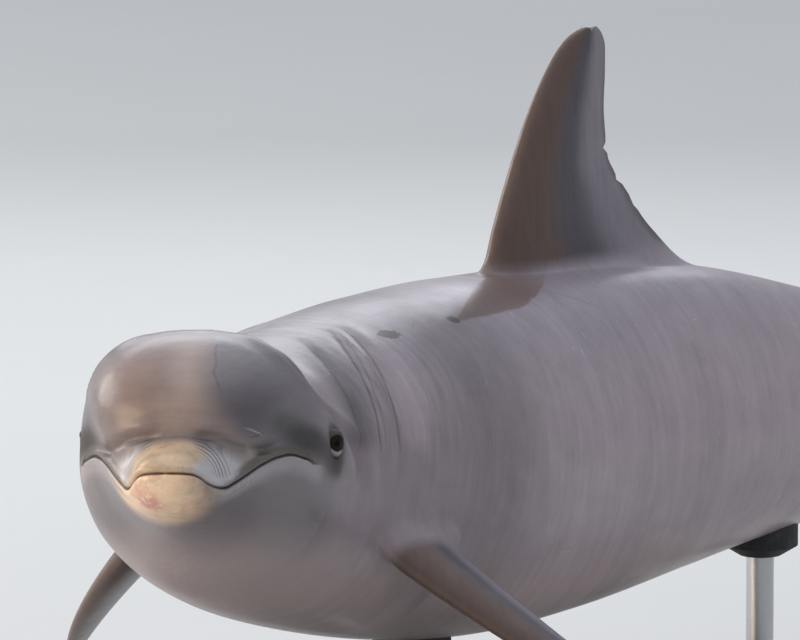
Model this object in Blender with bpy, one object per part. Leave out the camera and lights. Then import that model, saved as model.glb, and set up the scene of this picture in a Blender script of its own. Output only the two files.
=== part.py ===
"""A life-size bottlenose dolphin, head and body turned a little to its left, on a plain stand.

The animal is laid out straight first: x runs back from the beak tip, y to its right and z up,
all in metres. A bent spine line then carries every section into place above the stand.
"""

import math

import bmesh
import bpy
import numpy as np

for old in list(bpy.data.objects):
    bpy.data.objects.remove(old, do_unlink=True)

BODY_LENGTH = 2.60  # beak tip to the notch between the flukes
GAP = 0.0003  # clearance between neighbouring pieces
COLUMNS = 36  # points round each section of the body
SPINE_ORIGIN = 1.30  # station that stands over the spine's zero
SPINE_PLACE = (0.25, 0.06, 0.46)  # where that station's axis is, above the middle of the base


def curve(pairs):
    """A smooth line through (place, value) pairs that never overshoots them."""
    at = np.array([pair[0] for pair in pairs], float)
    value = np.array([pair[1] for pair in pairs], float)
    step = np.diff(at)
    rise = np.diff(value) / step
    slope = np.zeros_like(value)
    slope[0], slope[-1] = rise[0], rise[-1]
    for k in range(1, len(at) - 1):
        if rise[k - 1] * rise[k] > 0:
            near = 2 * step[k] + step[k - 1]
            far = step[k] + 2 * step[k - 1]
            slope[k] = (near + far) / (near / rise[k - 1] + far / rise[k])

    def along(place):
        place = np.clip(np.asarray(place, float), at[0], at[-1])
        k = np.clip(np.searchsorted(at, place, side="right") - 1, 0, len(step) - 1)
        t = (place - at[k]) / step[k]
        start = (1 + 2 * t) * (1 - t) ** 2 * value[k] + t * (1 - t) ** 2 * step[k] * slope[k]
        end = t * t * (3 - 2 * t) * value[k + 1] - t * t * (1 - t) * step[k] * slope[k + 1]
        return start + end

    return along


def ease(t):
    t = np.clip(t, 0, 1)
    return t * t * (3 - 2 * t)


def smooth_max(a, b, width):
    t = np.clip(0.5 + 0.5 * (a - b) / width, 0, 1)
    return b * (1 - t) + a * t + width * t * (1 - t)


# Body outline, station by station.
MOUTH_LINE = curve([
    (0, -0.066), (0.010, -0.067), (0.020, -0.0705), (0.032, -0.0755), (0.048, -0.0785),
    (0.068, -0.080), (0.082, -0.079), (0.10, -0.072), (0.125, -0.060), (0.155, -0.046),
    (0.19, -0.0345), (0.22, -0.0295), (0.255, -0.0325), (0.36, -0.029), (0.47, -0.014),
    (0.7, 0), (2.6, 0)])
BACK_LINE = curve([
    (0.074, -0.055), (0.082, -0.010), (0.09, 0.028), (0.1, 0.055), (0.115, 0.077),
    (0.14, 0.098), (0.18, 0.116), (0.225, 0.1275), (0.265, 0.1275), (0.31, 0.115), (0.36, 0.111),
    (0.42, 0.117), (0.5, 0.136), (0.6, 0.164), (0.7, 0.189), (0.8, 0.209), (1.0, 0.230), (1.2, 0.232),
    (1.45, 0.212), (1.7, 0.172), (1.95, 0.126), (2.2, 0.083), (2.4, 0.052), (2.52, 0.030), (2.6, 0.004)])
HALF_WIDTH = curve([
    (0.074, 0.015), (0.082, 0.042), (0.09, 0.060), (0.1, 0.076), (0.12, 0.101), (0.15, 0.126),
    (0.2, 0.146), (0.27, 0.158), (0.335, 0.162), (0.42, 0.168), (0.55, 0.186), (0.7, 0.202),
    (0.9, 0.216), (1.1, 0.214), (1.3, 0.196), (1.5, 0.168), (1.75, 0.122), (2.0, 0.076),
    (2.2, 0.046), (2.4, 0.026), (2.55, 0.015), (2.6, 0.004)])
BELLY_LINE = curve([
    (0, -0.0665), (0.002, -0.077), (0.006, -0.085), (0.015, -0.095), (0.04, -0.106),
    (0.085, -0.117), (0.15, -0.130), (0.23, -0.150), (0.31, -0.177), (0.4, -0.201), (0.6, -0.226),
    (0.8, -0.238), (1.0, -0.242), (1.2, -0.234), (1.45, -0.206), (1.7, -0.160),
    (1.95, -0.112), (2.2, -0.072), (2.4, -0.046), (2.52, -0.028), (2.6, -0.004)])
BEAK_HEIGHT = curve([
    (0, 0), (0.002, 0.009), (0.006, 0.016), (0.015, 0.025), (0.03, 0.037), (0.055, 0.050),
    (0.080, 0.064), (0.10, 0.067), (0.12, 0.058), (0.14, 0.043), (0.16, 0.030), (0.2, 0.016),
    (0.26, 0.008), (0.3, 0.004)])
BEAK_HALF_WIDTH = curve([
    (0, 0), (0.002, 0.015), (0.006, 0.025), (0.015, 0.036), (0.03, 0.045), (0.055, 0.053),
    (0.085, 0.064), (0.12, 0.081), (0.16, 0.099), (0.2, 0.115), (0.24, 0.128), (0.28, 0.134),
    (0.335, 0.130), (0.45, 0.10)])
CHEEK_WAIST = curve([
    (0.074, 0.10), (0.10, 0.28), (0.14, 0.34), (0.19, 0.27), (0.24, 0.14), (0.30, 0.03), (0.345, 0)])
ROUNDNESS_ABOVE = curve([
    (0.07, 2.2), (0.12, 2.7), (0.26, 2.75), (0.36, 2.35), (0.5, 2.2), (0.65, 2.15), (1.2, 2.0),
    (1.6, 1.85), (2.0, 1.6), (2.4, 1.5), (2.6, 2)])
ROUNDNESS_BELOW = curve([
    (0, 2.3), (0.06, 2.0), (0.12, 1.8), (0.22, 1.8), (0.35, 2.1), (0.6, 2.2), (1.2, 2.05), (1.6, 1.85), (2.0, 1.6),
    (2.4, 1.5), (2.6, 2)])


def oval(angle, half_width, height, roundness):
    across = np.abs(np.cos(angle)) / np.maximum(half_width, 1e-6)
    upward = np.abs(np.sin(angle)) / np.maximum(height, 1e-6)
    return (across**roundness + upward**roundness) ** (-1 / roundness)


def body_point(x, angle):
    """A point on the straight body: the angle turns from its right side up over the back."""
    x, angle = np.broadcast_arrays(np.asarray(x, float), np.asarray(angle, float))
    middle = MOUTH_LINE(x)
    past_beak = x > 0.074
    fade = ease((0.42 - x) / 0.14)
    blend = 0.006 + 0.02 * ease((x - 0.12) / 0.2)
    cheek = CHEEK_WAIST(x)
    wide = HALF_WIDTH(x) * past_beak
    melon = oval(angle, wide, np.maximum(BACK_LINE(x) - middle, 1e-4) * past_beak, ROUNDNESS_ABOVE(x))
    melon = melon * (1 - cheek * np.exp(-((np.sin(angle) / 0.42) ** 2)))
    beak = oval(angle, BEAK_HALF_WIDTH(x), BEAK_HEIGHT(x), 2.25)
    above = np.where(x > 0.4, melon, smooth_max(melon, beak * fade, blend))
    side = wide * (1 - cheek)
    side = np.where(x > 0.4, side, smooth_max(side, BEAK_HALF_WIDTH(x) * fade, blend))
    below = oval(angle, side, np.maximum(middle - BELLY_LINE(x), 1e-4), ROUNDNESS_BELOW(x))
    radius = np.where(np.sin(angle) >= 0, above, below)
    z = middle + radius * np.sin(angle)
    forehead = 0.014 * np.exp(-(((z - 0.035) / 0.045) ** 2)) * ease((z + 0.03) / 0.03)
    forehead = forehead * ease((0.24 - x) / 0.12) * ease((x - 0.07) / 0.02)
    return np.stack([x - forehead, radius * np.cos(angle), z], -1)


# The bent spine: turn to the left, nose-up tilt and lean, in degrees at each station.
TURN = curve([
    (0, 36.5), (0.28, 36.5), (0.43, 24), (0.60, 12.5), (0.95, 12), (1.3, 0), (1.7, -3), (2.6, -6)])
TILT = curve([
    (0, 14), (0.3, 14), (0.75, 9.7), (1.3, 0.5), (1.65, 6), (2.0, 8), (2.3, 5), (2.6, 1)])
LEAN = curve([(0, -1.7), (0.4, -1.7), (1.0, -0.5), (1.5, -0.5), (2.6, 0)])
SPINE_STEP = 0.005


def spine_frame(station):
    turn, tilt, lean = (math.radians(float(bend(station))) for bend in (TURN, TILT, LEAN))
    turned = np.array([
        [math.cos(turn), -math.sin(turn), 0],
        [math.sin(turn), math.cos(turn), 0],
        [0, 0, 1]])
    tilted = np.array([
        [math.cos(tilt), 0, math.sin(tilt)],
        [0, 1, 0],
        [-math.sin(tilt), 0, math.cos(tilt)]])
    leaned = np.array([
        [1, 0, 0],
        [0, math.cos(lean), -math.sin(lean)],
        [0, math.sin(lean), math.cos(lean)]])
    return turned @ tilted @ leaned


spine_stations = np.arange(0, BODY_LENGTH + SPINE_STEP / 2, SPINE_STEP)
spine_frames = np.array([spine_frame(station) for station in spine_stations])
backward = spine_frames[:, :, 0]
spine_line = np.vstack([
    np.zeros(3), np.cumsum((backward[1:] + backward[:-1]) / 2 * SPINE_STEP, axis=0)])
spine_line += np.array(SPINE_PLACE) - spine_line[int(round(SPINE_ORIGIN / SPINE_STEP))]


def posed(points):
    """Straight-body points carried to the bent spine above the stand."""
    points = np.asarray(points, float)
    x = points[..., 0]
    place = np.clip(x / SPINE_STEP, 0, len(spine_line) - 1.001)
    k = place.astype(int)
    t = (place - k)[..., None]
    centre = spine_line[k] * (1 - t) + spine_line[k + 1] * t
    frame = spine_frames[k] * (1 - t[..., None]) + spine_frames[k + 1] * t[..., None]
    beyond = x - np.clip(x, 0, BODY_LENGTH)
    return (centre + frame[..., :, 0] * beyond[..., None]
            + frame[..., :, 1] * points[..., 1:2] + frame[..., :, 2] * points[..., 2:3])


def material(name, colour, roughness, metallic=0.0):
    made = bpy.data.materials.new(name)
    made.use_nodes = True
    shader = made.node_tree.nodes["Principled BSDF"]
    shader.inputs["Base Color"].default_value = (*colour, 1)
    shader.inputs["Roughness"].default_value = roughness
    shader.inputs["Metallic"].default_value = metallic
    made.diffuse_color = (*colour, 1)
    return made


def add_object(name, points, faces, finish, smooth=True):
    mesh = bpy.data.meshes.new(name)
    mesh.from_pydata([tuple(map(float, point)) for point in points], [], faces)
    shape = bmesh.new()
    shape.from_mesh(mesh)
    bmesh.ops.recalc_face_normals(shape, faces=shape.faces)
    shape.to_mesh(mesh)
    shape.free()
    mesh.polygons.foreach_set("use_smooth", [smooth] * len(mesh.polygons))
    mesh.materials.append(finish)
    made = bpy.data.objects.new(name, mesh)
    bpy.context.collection.objects.link(made)
    return made


def as_cutter(helper):
    helper.hide_render = True
    helper.display_type = "WIRE"
    return helper


def boolean(target, tool, operation="DIFFERENCE"):
    cut = target.modifiers.new(tool.name, "BOOLEAN")
    cut.operation = operation
    cut.solver = "EXACT"
    cut.object = tool


def ring_faces(rings, per_ring, first=0):
    faces = []
    for i in range(rings - 1):
        for j in range(per_ring):
            a = first + i * per_ring + j
            b = first + i * per_ring + (j + 1) % per_ring
            faces.append((a, b, b + per_ring, a + per_ring))
    return faces


def split(quads):
    """Every quad as two triangles, all along the same diagonal."""
    return [half for a, b, c, d in quads for half in ((a, b, c), (a, c, d))]


def body_length_of(stations):
    """Points and faces of the body between the first and last of these stations."""
    angles = (np.arange(COLUMNS) + 0.5) * 2 * np.pi / COLUMNS
    pole = stations[0] == 0
    stations = np.array(stations[1:] if pole else stations)
    points = posed(body_point(stations[:, None], angles[None])).reshape(-1, 3)
    faces = split(ring_faces(len(stations), COLUMNS))
    last = (len(stations) - 1) * COLUMNS
    faces.append(tuple(range(last, last + COLUMNS)))
    if pole:
        tip = posed(np.array([[0, 0, float(MOUTH_LINE(0)) - 0.0003]]))
        points = np.vstack([points, tip])
        faces += [((j + 1) % COLUMNS, j, len(points) - 1) for j in range(COLUMNS)]
    else:
        faces.append(tuple(range(COLUMNS))[::-1])
    return points, faces


BEAK_STATIONS = [0, 0.0015, 0.005, 0.012, 0.023, 0.038, 0.056, 0.070, 0.079, 0.087, 0.095, 0.105,
                 0.120, 0.140, 0.165, 0.195, 0.228, 0.262, 0.300, 0.340, 0.380]
NECK_STATIONS = [0.380, 0.420, 0.460, 0.500, 0.540]
FRONT_STATIONS = [0.540, 0.60, 0.67, 0.75, 0.84, 0.94, 1.04]
REAR_STATIONS = [1.04, 1.14, 1.24, 1.34, 1.44, 1.54, 1.62]
TAIL_STATIONS = [1.62, 1.70, 1.79, 1.88, 1.97, 2.06, 2.15, 2.24, 2.32, 2.40, 2.47, 2.53, 2.575, 2.598]


def shortened(stations, front, rear):
    ends = list(stations)
    ends[0] += GAP / 2 if front else 0
    ends[-1] -= GAP / 2 if rear else 0
    return ends


grey_skin = material("skin_back", (0.185, 0.160, 0.175), 0.32)
side_skin = material("skin_flank", (0.215, 0.185, 0.200), 0.32)
pale_skin = material("skin_jaw", (0.46, 0.37, 0.32), 0.36)
fin_skin = material("skin_fins", (0.120, 0.098, 0.108), 0.34)
dark_eye = material("eye_dark", (0.012, 0.009, 0.008), 0.08)
board_paint = material("stand_board", (0.050, 0.052, 0.056), 0.42)
rod_steel = material("stand_steel", (0.56, 0.56, 0.57), 0.30, 1.0)
pad_rubber = material("stand_rubber", (0.030, 0.030, 0.032), 0.72)

head = add_object("head", *body_length_of(shortened(BEAK_STATIONS, False, True)), grey_skin)
jaw = add_object("lower_jaw", *body_length_of(BEAK_STATIONS), pale_skin)
neck = add_object("neck", *body_length_of(shortened(NECK_STATIONS, True, True)), grey_skin)
trunk_front = add_object(
    "trunk_front", *body_length_of(shortened(FRONT_STATIONS, True, True)), side_skin)
trunk_rear = add_object(
    "trunk_rear", *body_length_of(shortened(REAR_STATIONS, True, True)), side_skin)
tail_stock = add_object(
    "tail_stock", *body_length_of(shortened(TAIL_STATIONS, True, False)), grey_skin)

# The whole body grown by the gap, used to trim the fins, the flukes and the stand's pads to it.
whole = BEAK_STATIONS + NECK_STATIONS[1:] + FRONT_STATIONS[1:] + REAR_STATIONS[1:] + TAIL_STATIONS[1:]
body_form = as_cutter(add_object("body_form", *body_length_of(whole), grey_skin))
for vertex in body_form.data.vertices:
    vertex.co += vertex.normal * GAP


# The mouth: a ruled slit along the mouth line, from the tip back to the corners.
MOUTH_CORNER = 0.262


def mouth_block(name, lift, corner):
    """Everything below the mouth line, lifted a little, as far back as the corners of the mouth."""
    stations = [-0.05] + [x for x in BEAK_STATIONS if x < corner - 0.001] + [corner]
    points = []
    for x in stations:
        slit = float(MOUTH_LINE(x)) + lift
        points += [(x, -0.25, slit), (x, 0.25, slit), (x, 0.25, -0.35), (x, -0.25, -0.35)]
    faces = ring_faces(len(stations), 4)
    last = 4 * (len(stations) - 1)
    faces += [(0, 1, 2, 3)[::-1], (last, last + 1, last + 2, last + 3)]
    return as_cutter(add_object(name, posed(np.array(points)), faces, grey_skin, False))


mouth_above = mouth_block("mouth_above", GAP / 2, MOUTH_CORNER)
boolean(jaw, mouth_block("mouth_below", -GAP / 2, MOUTH_CORNER - GAP), "INTERSECT")

# Eyes: dark balls in sockets low on the widest part of the head.
EYE_RADIUS = 0.0165
EYE_PLACE = (0.356, 0.1520, -0.003)


def ball(name, centre, radius, finish, detail):
    mesh = bpy.data.meshes.new(name)
    shape = bmesh.new()
    bmesh.ops.create_icosphere(shape, subdivisions=detail, radius=radius)
    shape.to_mesh(mesh)
    shape.free()
    mesh.polygons.foreach_set("use_smooth", [True] * len(mesh.polygons))
    mesh.materials.append(finish)
    made = bpy.data.objects.new(name, mesh)
    made.location = centre
    bpy.context.collection.objects.link(made)
    return made


for side, name in ((-1, "left"), (1, "right")):
    centre = posed(np.array([EYE_PLACE[0], side * EYE_PLACE[1], EYE_PLACE[2]]))
    ball("eye_" + name, centre, EYE_RADIUS, dark_eye, 3)
    boolean(head, as_cutter(ball("socket_" + name, centre, EYE_RADIUS + 0.0006, dark_eye, 3)))

# The blowhole: a shallow crescent slit across the top of the head, horns forward.
BLOWHOLE_PLACE = 0.252
BLOWHOLE_WIDTH = 0.046
BLOWHOLE_SLIT = 0.0035
points = []
for turn in np.linspace(-1, 1, 9):
    y = turn * BLOWHOLE_WIDTH / 2
    x = BLOWHOLE_PLACE + 0.014 * (1 - turn * turn)
    narrow = BLOWHOLE_SLIT * (1 - 0.6 * turn * turn)
    top = float(BACK_LINE(x))
    points += [(x - narrow, y, top + 0.02), (x + narrow, y, top + 0.02), (x + 0.3 * narrow, y, top - 0.009),
               (x - 0.3 * narrow, y, top - 0.009)]
faces = ring_faces(9, 4) + [(3, 2, 1, 0), (32, 33, 34, 35)]
blowhole = as_cutter(add_object("blowhole_slit", posed(np.array(points)), faces, grey_skin, False))
boolean(head, blowhole)

# The mouth slit is cut from the head last, once the sockets and the blowhole are open.
boolean(head, mouth_above)


def fin_faces(rings, per_ring):
    """Faces round a fin, with its two ends zipped shut from leading to trailing edge."""
    faces = ring_faces(rings, per_ring)
    half = per_ring // 2
    for first, order in ((0, 1), ((rings - 1) * per_ring, -1)):
        faces.append((first, first + 1, first + per_ring - 1)[::-order])
        for k in range(1, half - 1):
            face = (first + k, first + k + 1, first + per_ring - k - 1, first + per_ring - k)
            faces.append(face[::-order])
        faces.append((first + half - 1, first + half, first + half + 1)[::-order])
    return faces


def fin(name, place, levels, leading, trailing, thickness, finish, around=22):
    """A fin of streamlined sections; place puts (chord, thickness, level) on the straight body."""
    angle = np.arange(around) * 2 * np.pi / around
    level = np.array(levels)[:, None]
    share = (1 - np.cos(angle)) / 2
    chord = leading(level) + (trailing(level) - leading(level)) * share
    swell = 1.299 * np.abs(np.sin(angle / 2)) * np.cos(angle / 2) ** 2 * np.sign(np.pi - angle)
    depth = thickness(level) * swell + 0.0018 * np.sin(angle)
    points = posed(place(chord, depth, level + 0 * angle)).reshape(-1, 3)
    made = add_object(name, points, fin_faces(len(levels), around), finish)
    boolean(made, body_form)
    return made


# Dorsal fin: tall, swept and blunt at the tip, with a worn trailing edge.
DORSAL_HEIGHT = 0.314
DORSAL_LEADING = curve([
    (-0.2, 1.063), (0, 1.081), (0.146, 1.094), (0.264, 1.110), (0.37, 1.127), (0.47, 1.143),
    (0.59, 1.163), (0.688, 1.182), (0.767, 1.199), (0.838, 1.217), (0.904, 1.236),
    (0.955, 1.256), (0.984, 1.274), (1, 1.290)])
DORSAL_TRAILING = curve([
    (-0.2, 1.57), (-0.06, 1.50), (-0.019, 1.477), (0.025, 1.451), (0.083, 1.425),
    (0.156, 1.402), (0.236, 1.383), (0.3, 1.367), (0.36, 1.352), (0.43, 1.339), (0.51, 1.335),
    (0.66, 1.331), (0.8, 1.333), (0.904, 1.333), (0.955, 1.328), (0.985, 1.321), (1, 1.314)])
DORSAL_THICKNESS = curve([
    (-0.2, 0.110), (-0.05, 0.092), (0, 0.076), (0.06, 0.062), (0.15, 0.052), (0.35, 0.043),
    (0.6, 0.032), (0.85, 0.020), (1, 0.010)])
dorsal_root = float(BACK_LINE(1.15))


def on_back(chord, depth, level):
    return np.stack([chord, depth, dorsal_root + DORSAL_HEIGHT * level], -1)


fin("dorsal_fin", on_back,
    [-0.2, -0.06, 0, 0.05, 0.12, 0.22, 0.33, 0.45, 0.58, 0.70, 0.81, 0.90, 0.96, 0.99],
    DORSAL_LEADING, DORSAL_TRAILING, DORSAL_THICKNESS, fin_skin)

# Flippers: low on the flanks behind the neck, swept back and held out and down.
FLIPPER_STATION = 0.635
FLIPPER_ROOT_ANGLE = math.radians(29)
FLIPPER_SPAN = 0.335
FLIPPER_DROOP = math.radians(38)
FLIPPER_LEADING = curve([
    (-0.2, -0.082), (0, -0.080), (0.12, -0.066), (0.3, -0.034), (0.5, 0.010), (0.7, 0.066),
    (0.86, 0.124), (0.95, 0.166), (1, 0.196)])
FLIPPER_TRAILING = curve([
    (-0.2, 0.074), (0, 0.074), (0.1, 0.072), (0.25, 0.084), (0.45, 0.110), (0.65, 0.140),
    (0.82, 0.170), (0.93, 0.192), (1, 0.206)])
FLIPPER_THICKNESS = curve([
    (-0.2, 0.062), (0, 0.050), (0.08, 0.040), (0.25, 0.034), (0.6, 0.022), (0.85, 0.013), (1, 0.007)])
flipper_reach = float(np.hypot(*body_point(FLIPPER_STATION, math.pi + FLIPPER_ROOT_ANGLE)[1:]))


def flipper_place(side):
    out = np.array([0, side * math.cos(FLIPPER_DROOP), -math.sin(FLIPPER_DROOP)])
    back = np.array([0.985, 0, 0.174])
    back = back - out * (back @ out)
    back = back / np.linalg.norm(back)
    flat = np.cross(back, out)
    root = body_point(FLIPPER_STATION, math.pi + FLIPPER_ROOT_ANGLE) * np.array([1, -side, 1])

    def place(chord, depth, level):
        span = level * FLIPPER_SPAN
        curl = 0.02 * level**2
        return (root + back * chord[..., None] + out * span[..., None]
                + flat * depth[..., None] - np.array([0, 0, 1]) * curl[..., None])

    return place


FLIPPER_LEVELS = [-0.2, -0.08, 0, 0.07, 0.16, 0.28, 0.41, 0.55, 0.69, 0.81, 0.90, 0.96, 0.99]
for side, name in ((-1, "left"), (1, "right")):
    fin("flipper_" + name, flipper_place(side), FLIPPER_LEVELS,
        FLIPPER_LEADING, FLIPPER_TRAILING, FLIPPER_THICKNESS, fin_skin, 20)

# Flukes: level blades either side of the tail, with a notch between them.
FLUKE_SPAN = 0.310
FLUKE_LEADING = curve([
    (0, 2.330), (0.1, 2.362), (0.25, 2.408), (0.45, 2.464), (0.65, 2.522), (0.82, 2.576),
    (0.94, 2.622), (1, 2.656)])
FLUKE_TRAILING = curve([
    (0, 2.594), (0.05, 2.606), (0.15, 2.620), (0.3, 2.624), (0.5, 2.619), (0.7, 2.622),
    (0.88, 2.642), (1, 2.664)])
FLUKE_THICKNESS = curve([
    (0, 0.056), (0.08, 0.044), (0.2, 0.031), (0.5, 0.022), (0.8, 0.014), (1, 0.007)])


def fluke_place(side):
    def place(chord, depth, level):
        y = side * (0.0018 + FLUKE_SPAN * level)
        return np.stack([chord, y, depth + 0.012 * level**2], -1)

    return place


FLUKE_LEVELS = [0, 0.05, 0.11, 0.19, 0.30, 0.43, 0.56, 0.69, 0.80, 0.89, 0.95, 0.985]
for side, name in ((-1, "left"), (1, "right")):
    fin("fluke_" + name, fluke_place(side), FLUKE_LEVELS,
        FLUKE_LEADING, FLUKE_TRAILING, FLUKE_THICKNESS, fin_skin, 20)

# The stand: a painted board, two steel rods in flanges, and a rubber saddle pad on each rod.
BOARD_SIZE = (1.30, 0.62, 0.036)
BOARD_CORNER = 0.09
ROD_RADIUS = 0.019
FLANGE_RADIUS = 0.055
FLANGE_HEIGHT = 0.012
PAD_RADIUS = 0.052
PAD_SKIRT = 0.030
ROD_STATIONS = {"front": 0.93, "rear": 1.66}


def turned(name, profile, place, finish, around=32):
    """A solid of revolution about an upright axis from (radius, height) pairs, bottom to top."""
    angle = np.arange(around) * 2 * np.pi / around
    points = [(place[0] + r * math.cos(a), place[1] + r * math.sin(a), z) for r, z in profile for a in angle]
    faces = ring_faces(len(profile), around)
    last = (len(profile) - 1) * around
    faces += [tuple(range(around))[::-1], tuple(range(last, last + around))]
    made = add_object(name, points, faces, finish)
    made.data.set_sharp_from_angle(angle=math.radians(35))
    return made


corners = []
for cx, cy, start in ((1, 1, 0), (-1, 1, 90), (-1, -1, 180), (1, -1, 270)):
    for step in range(9):
        turn = math.radians(start + step * 90 / 8)
        corners.append((cx * (BOARD_SIZE[0] / 2 - BOARD_CORNER) + BOARD_CORNER * math.cos(turn),
                        cy * (BOARD_SIZE[1] / 2 - BOARD_CORNER) + BOARD_CORNER * math.sin(turn)))
points = []
for grow, z in ((1.0, 0.0), (1.0, BOARD_SIZE[2] - 0.004), (0.9935, BOARD_SIZE[2])):
    points += [(x * grow, y * (1 - (1 - grow) * BOARD_SIZE[0] / BOARD_SIZE[1]), z) for x, y in corners]
count = len(corners)
faces = ring_faces(3, count) + [tuple(range(count))[::-1], tuple(range(2 * count, 3 * count))]
board = add_object("stand_base", points, faces, board_paint)
board.data.set_sharp_from_angle(angle=math.radians(30))

for name, station in ROD_STATIONS.items():
    belly = posed(np.array([station, 0, float(BELLY_LINE(station))]))
    pad_foot = float(belly[2]) - PAD_SKIRT
    floor = BOARD_SIZE[2] + GAP
    rod_foot = floor + FLANGE_HEIGHT + GAP
    turned("stand_flange_" + name,
           [(FLANGE_RADIUS, floor), (FLANGE_RADIUS, floor + 0.008), (FLANGE_RADIUS - 0.004, floor + FLANGE_HEIGHT)],
           belly, rod_steel)
    turned("stand_rod_" + name, [(ROD_RADIUS, rod_foot), (ROD_RADIUS, pad_foot - GAP)], belly, rod_steel, 24)
    pad = turned("stand_pad_" + name,
                 [(ROD_RADIUS + 0.010, pad_foot), (PAD_RADIUS, pad_foot + 0.014), (PAD_RADIUS, belly[2] + 0.03)],
                 belly, pad_rubber)
    boolean(pad, body_form)
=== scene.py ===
import math

import bmesh
import bpy
import numpy as np
from mathutils import Matrix, Vector


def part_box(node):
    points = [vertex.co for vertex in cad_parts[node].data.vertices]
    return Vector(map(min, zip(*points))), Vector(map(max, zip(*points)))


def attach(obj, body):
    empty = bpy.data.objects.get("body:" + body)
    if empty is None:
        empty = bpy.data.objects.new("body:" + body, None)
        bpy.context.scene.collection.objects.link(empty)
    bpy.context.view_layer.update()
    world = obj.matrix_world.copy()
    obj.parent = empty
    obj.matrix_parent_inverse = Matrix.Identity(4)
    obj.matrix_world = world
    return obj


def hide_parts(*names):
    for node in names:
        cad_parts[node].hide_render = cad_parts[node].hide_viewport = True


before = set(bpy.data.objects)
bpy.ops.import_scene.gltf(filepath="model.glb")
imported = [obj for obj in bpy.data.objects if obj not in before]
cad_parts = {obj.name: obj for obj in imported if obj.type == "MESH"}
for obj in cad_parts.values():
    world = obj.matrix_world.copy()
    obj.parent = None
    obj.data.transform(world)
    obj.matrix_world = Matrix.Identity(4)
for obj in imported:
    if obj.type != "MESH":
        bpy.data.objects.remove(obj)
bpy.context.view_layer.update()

# The dolphin's skin: one closed sheet over head, trunk, fins and flukes, cast and painted on a model.
# It is laid out along a straight spine first, x back from the beak tip, y to the right and z up,
# then bent onto the turned spine above the stand.
BODY_LENGTH = 2.60
BEAK_ROOT, BEAK_BLENDED, BEAK_FADED = 0.074, 0.4, 0.42
SPINE_ORIGIN = 1.30
SPINE_PLACE = (0.25, 0.06, 0.46)
SPINE_STEP = 0.005


def curve(pairs):
    """A smooth line through (place, value) pairs that never overshoots them."""
    at = np.array([pair[0] for pair in pairs], float)
    value = np.array([pair[1] for pair in pairs], float)
    step = np.diff(at)
    rise = np.diff(value) / step
    slope = np.zeros_like(value)
    slope[0], slope[-1] = rise[0], rise[-1]
    for k in range(1, len(at) - 1):
        if rise[k - 1] * rise[k] > 0:
            near = 2 * step[k] + step[k - 1]
            far = step[k] + 2 * step[k - 1]
            slope[k] = (near + far) / (near / rise[k - 1] + far / rise[k])

    def along(place):
        place = np.clip(np.asarray(place, float), at[0], at[-1])
        k = np.clip(np.searchsorted(at, place, side="right") - 1, 0, len(step) - 1)
        t = (place - at[k]) / step[k]
        start = (1 + 2 * t) * (1 - t) ** 2 * value[k] + t * (1 - t) ** 2 * step[k] * slope[k]
        end = t * t * (3 - 2 * t) * value[k + 1] - t * t * (1 - t) * step[k] * slope[k + 1]
        return start + end

    return along


def ease(t):
    t = np.clip(t, 0, 1)
    return t * t * (3 - 2 * t)


def hill(distance, width):
    return np.exp(-((distance / width) ** 2))


def smooth_max(a, b, width):
    t = np.clip(0.5 + 0.5 * (a - b) / width, 0, 1)
    return b * (1 - t) + a * t + width * t * (1 - t)


MOUTH_LINE = curve([
    (0, -0.066), (0.010, -0.067), (0.020, -0.0705), (0.032, -0.0755), (0.048, -0.0785),
    (0.068, -0.080), (0.082, -0.079), (0.10, -0.072), (0.125, -0.060), (0.155, -0.046),
    (0.19, -0.0345), (0.22, -0.0295), (0.255, -0.0325), (0.36, -0.029), (0.47, -0.014),
    (0.7, 0), (2.6, 0)])
BACK_LINE = curve([
    (0.074, -0.055), (0.082, -0.010), (0.09, 0.028), (0.1, 0.055), (0.115, 0.077),
    (0.14, 0.098), (0.18, 0.116), (0.225, 0.1275), (0.265, 0.1275), (0.31, 0.115), (0.36, 0.111),
    (0.42, 0.117), (0.5, 0.136), (0.6, 0.164), (0.7, 0.189), (0.8, 0.209), (1.0, 0.230),
    (1.2, 0.232), (1.45, 0.212), (1.7, 0.172), (1.95, 0.126), (2.2, 0.083), (2.4, 0.052),
    (2.52, 0.030), (2.6, 0.004)])
HALF_WIDTH = curve([
    (0.074, 0.015), (0.082, 0.042), (0.09, 0.060), (0.1, 0.076), (0.12, 0.101), (0.15, 0.126),
    (0.2, 0.146), (0.27, 0.158), (0.335, 0.162), (0.42, 0.168), (0.55, 0.186), (0.7, 0.202),
    (0.9, 0.216), (1.1, 0.214), (1.3, 0.196), (1.5, 0.168), (1.75, 0.122), (2.0, 0.076),
    (2.2, 0.046), (2.4, 0.026), (2.55, 0.015), (2.6, 0.004)])
BELLY_LINE = curve([
    (0, -0.0665), (0.002, -0.077), (0.006, -0.085), (0.015, -0.095), (0.04, -0.106),
    (0.085, -0.117), (0.15, -0.130), (0.23, -0.150), (0.31, -0.177), (0.4, -0.201), (0.6, -0.226),
    (0.8, -0.238), (1.0, -0.242), (1.2, -0.234), (1.45, -0.206), (1.7, -0.160),
    (1.95, -0.112), (2.2, -0.072), (2.4, -0.046), (2.52, -0.028), (2.6, -0.004)])
BEAK_HEIGHT = curve([
    (0, 0), (0.002, 0.009), (0.006, 0.016), (0.015, 0.025), (0.03, 0.037), (0.055, 0.050),
    (0.080, 0.064), (0.10, 0.067), (0.12, 0.058), (0.14, 0.043), (0.16, 0.030), (0.2, 0.016),
    (0.26, 0.008), (0.3, 0.004)])
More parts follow.
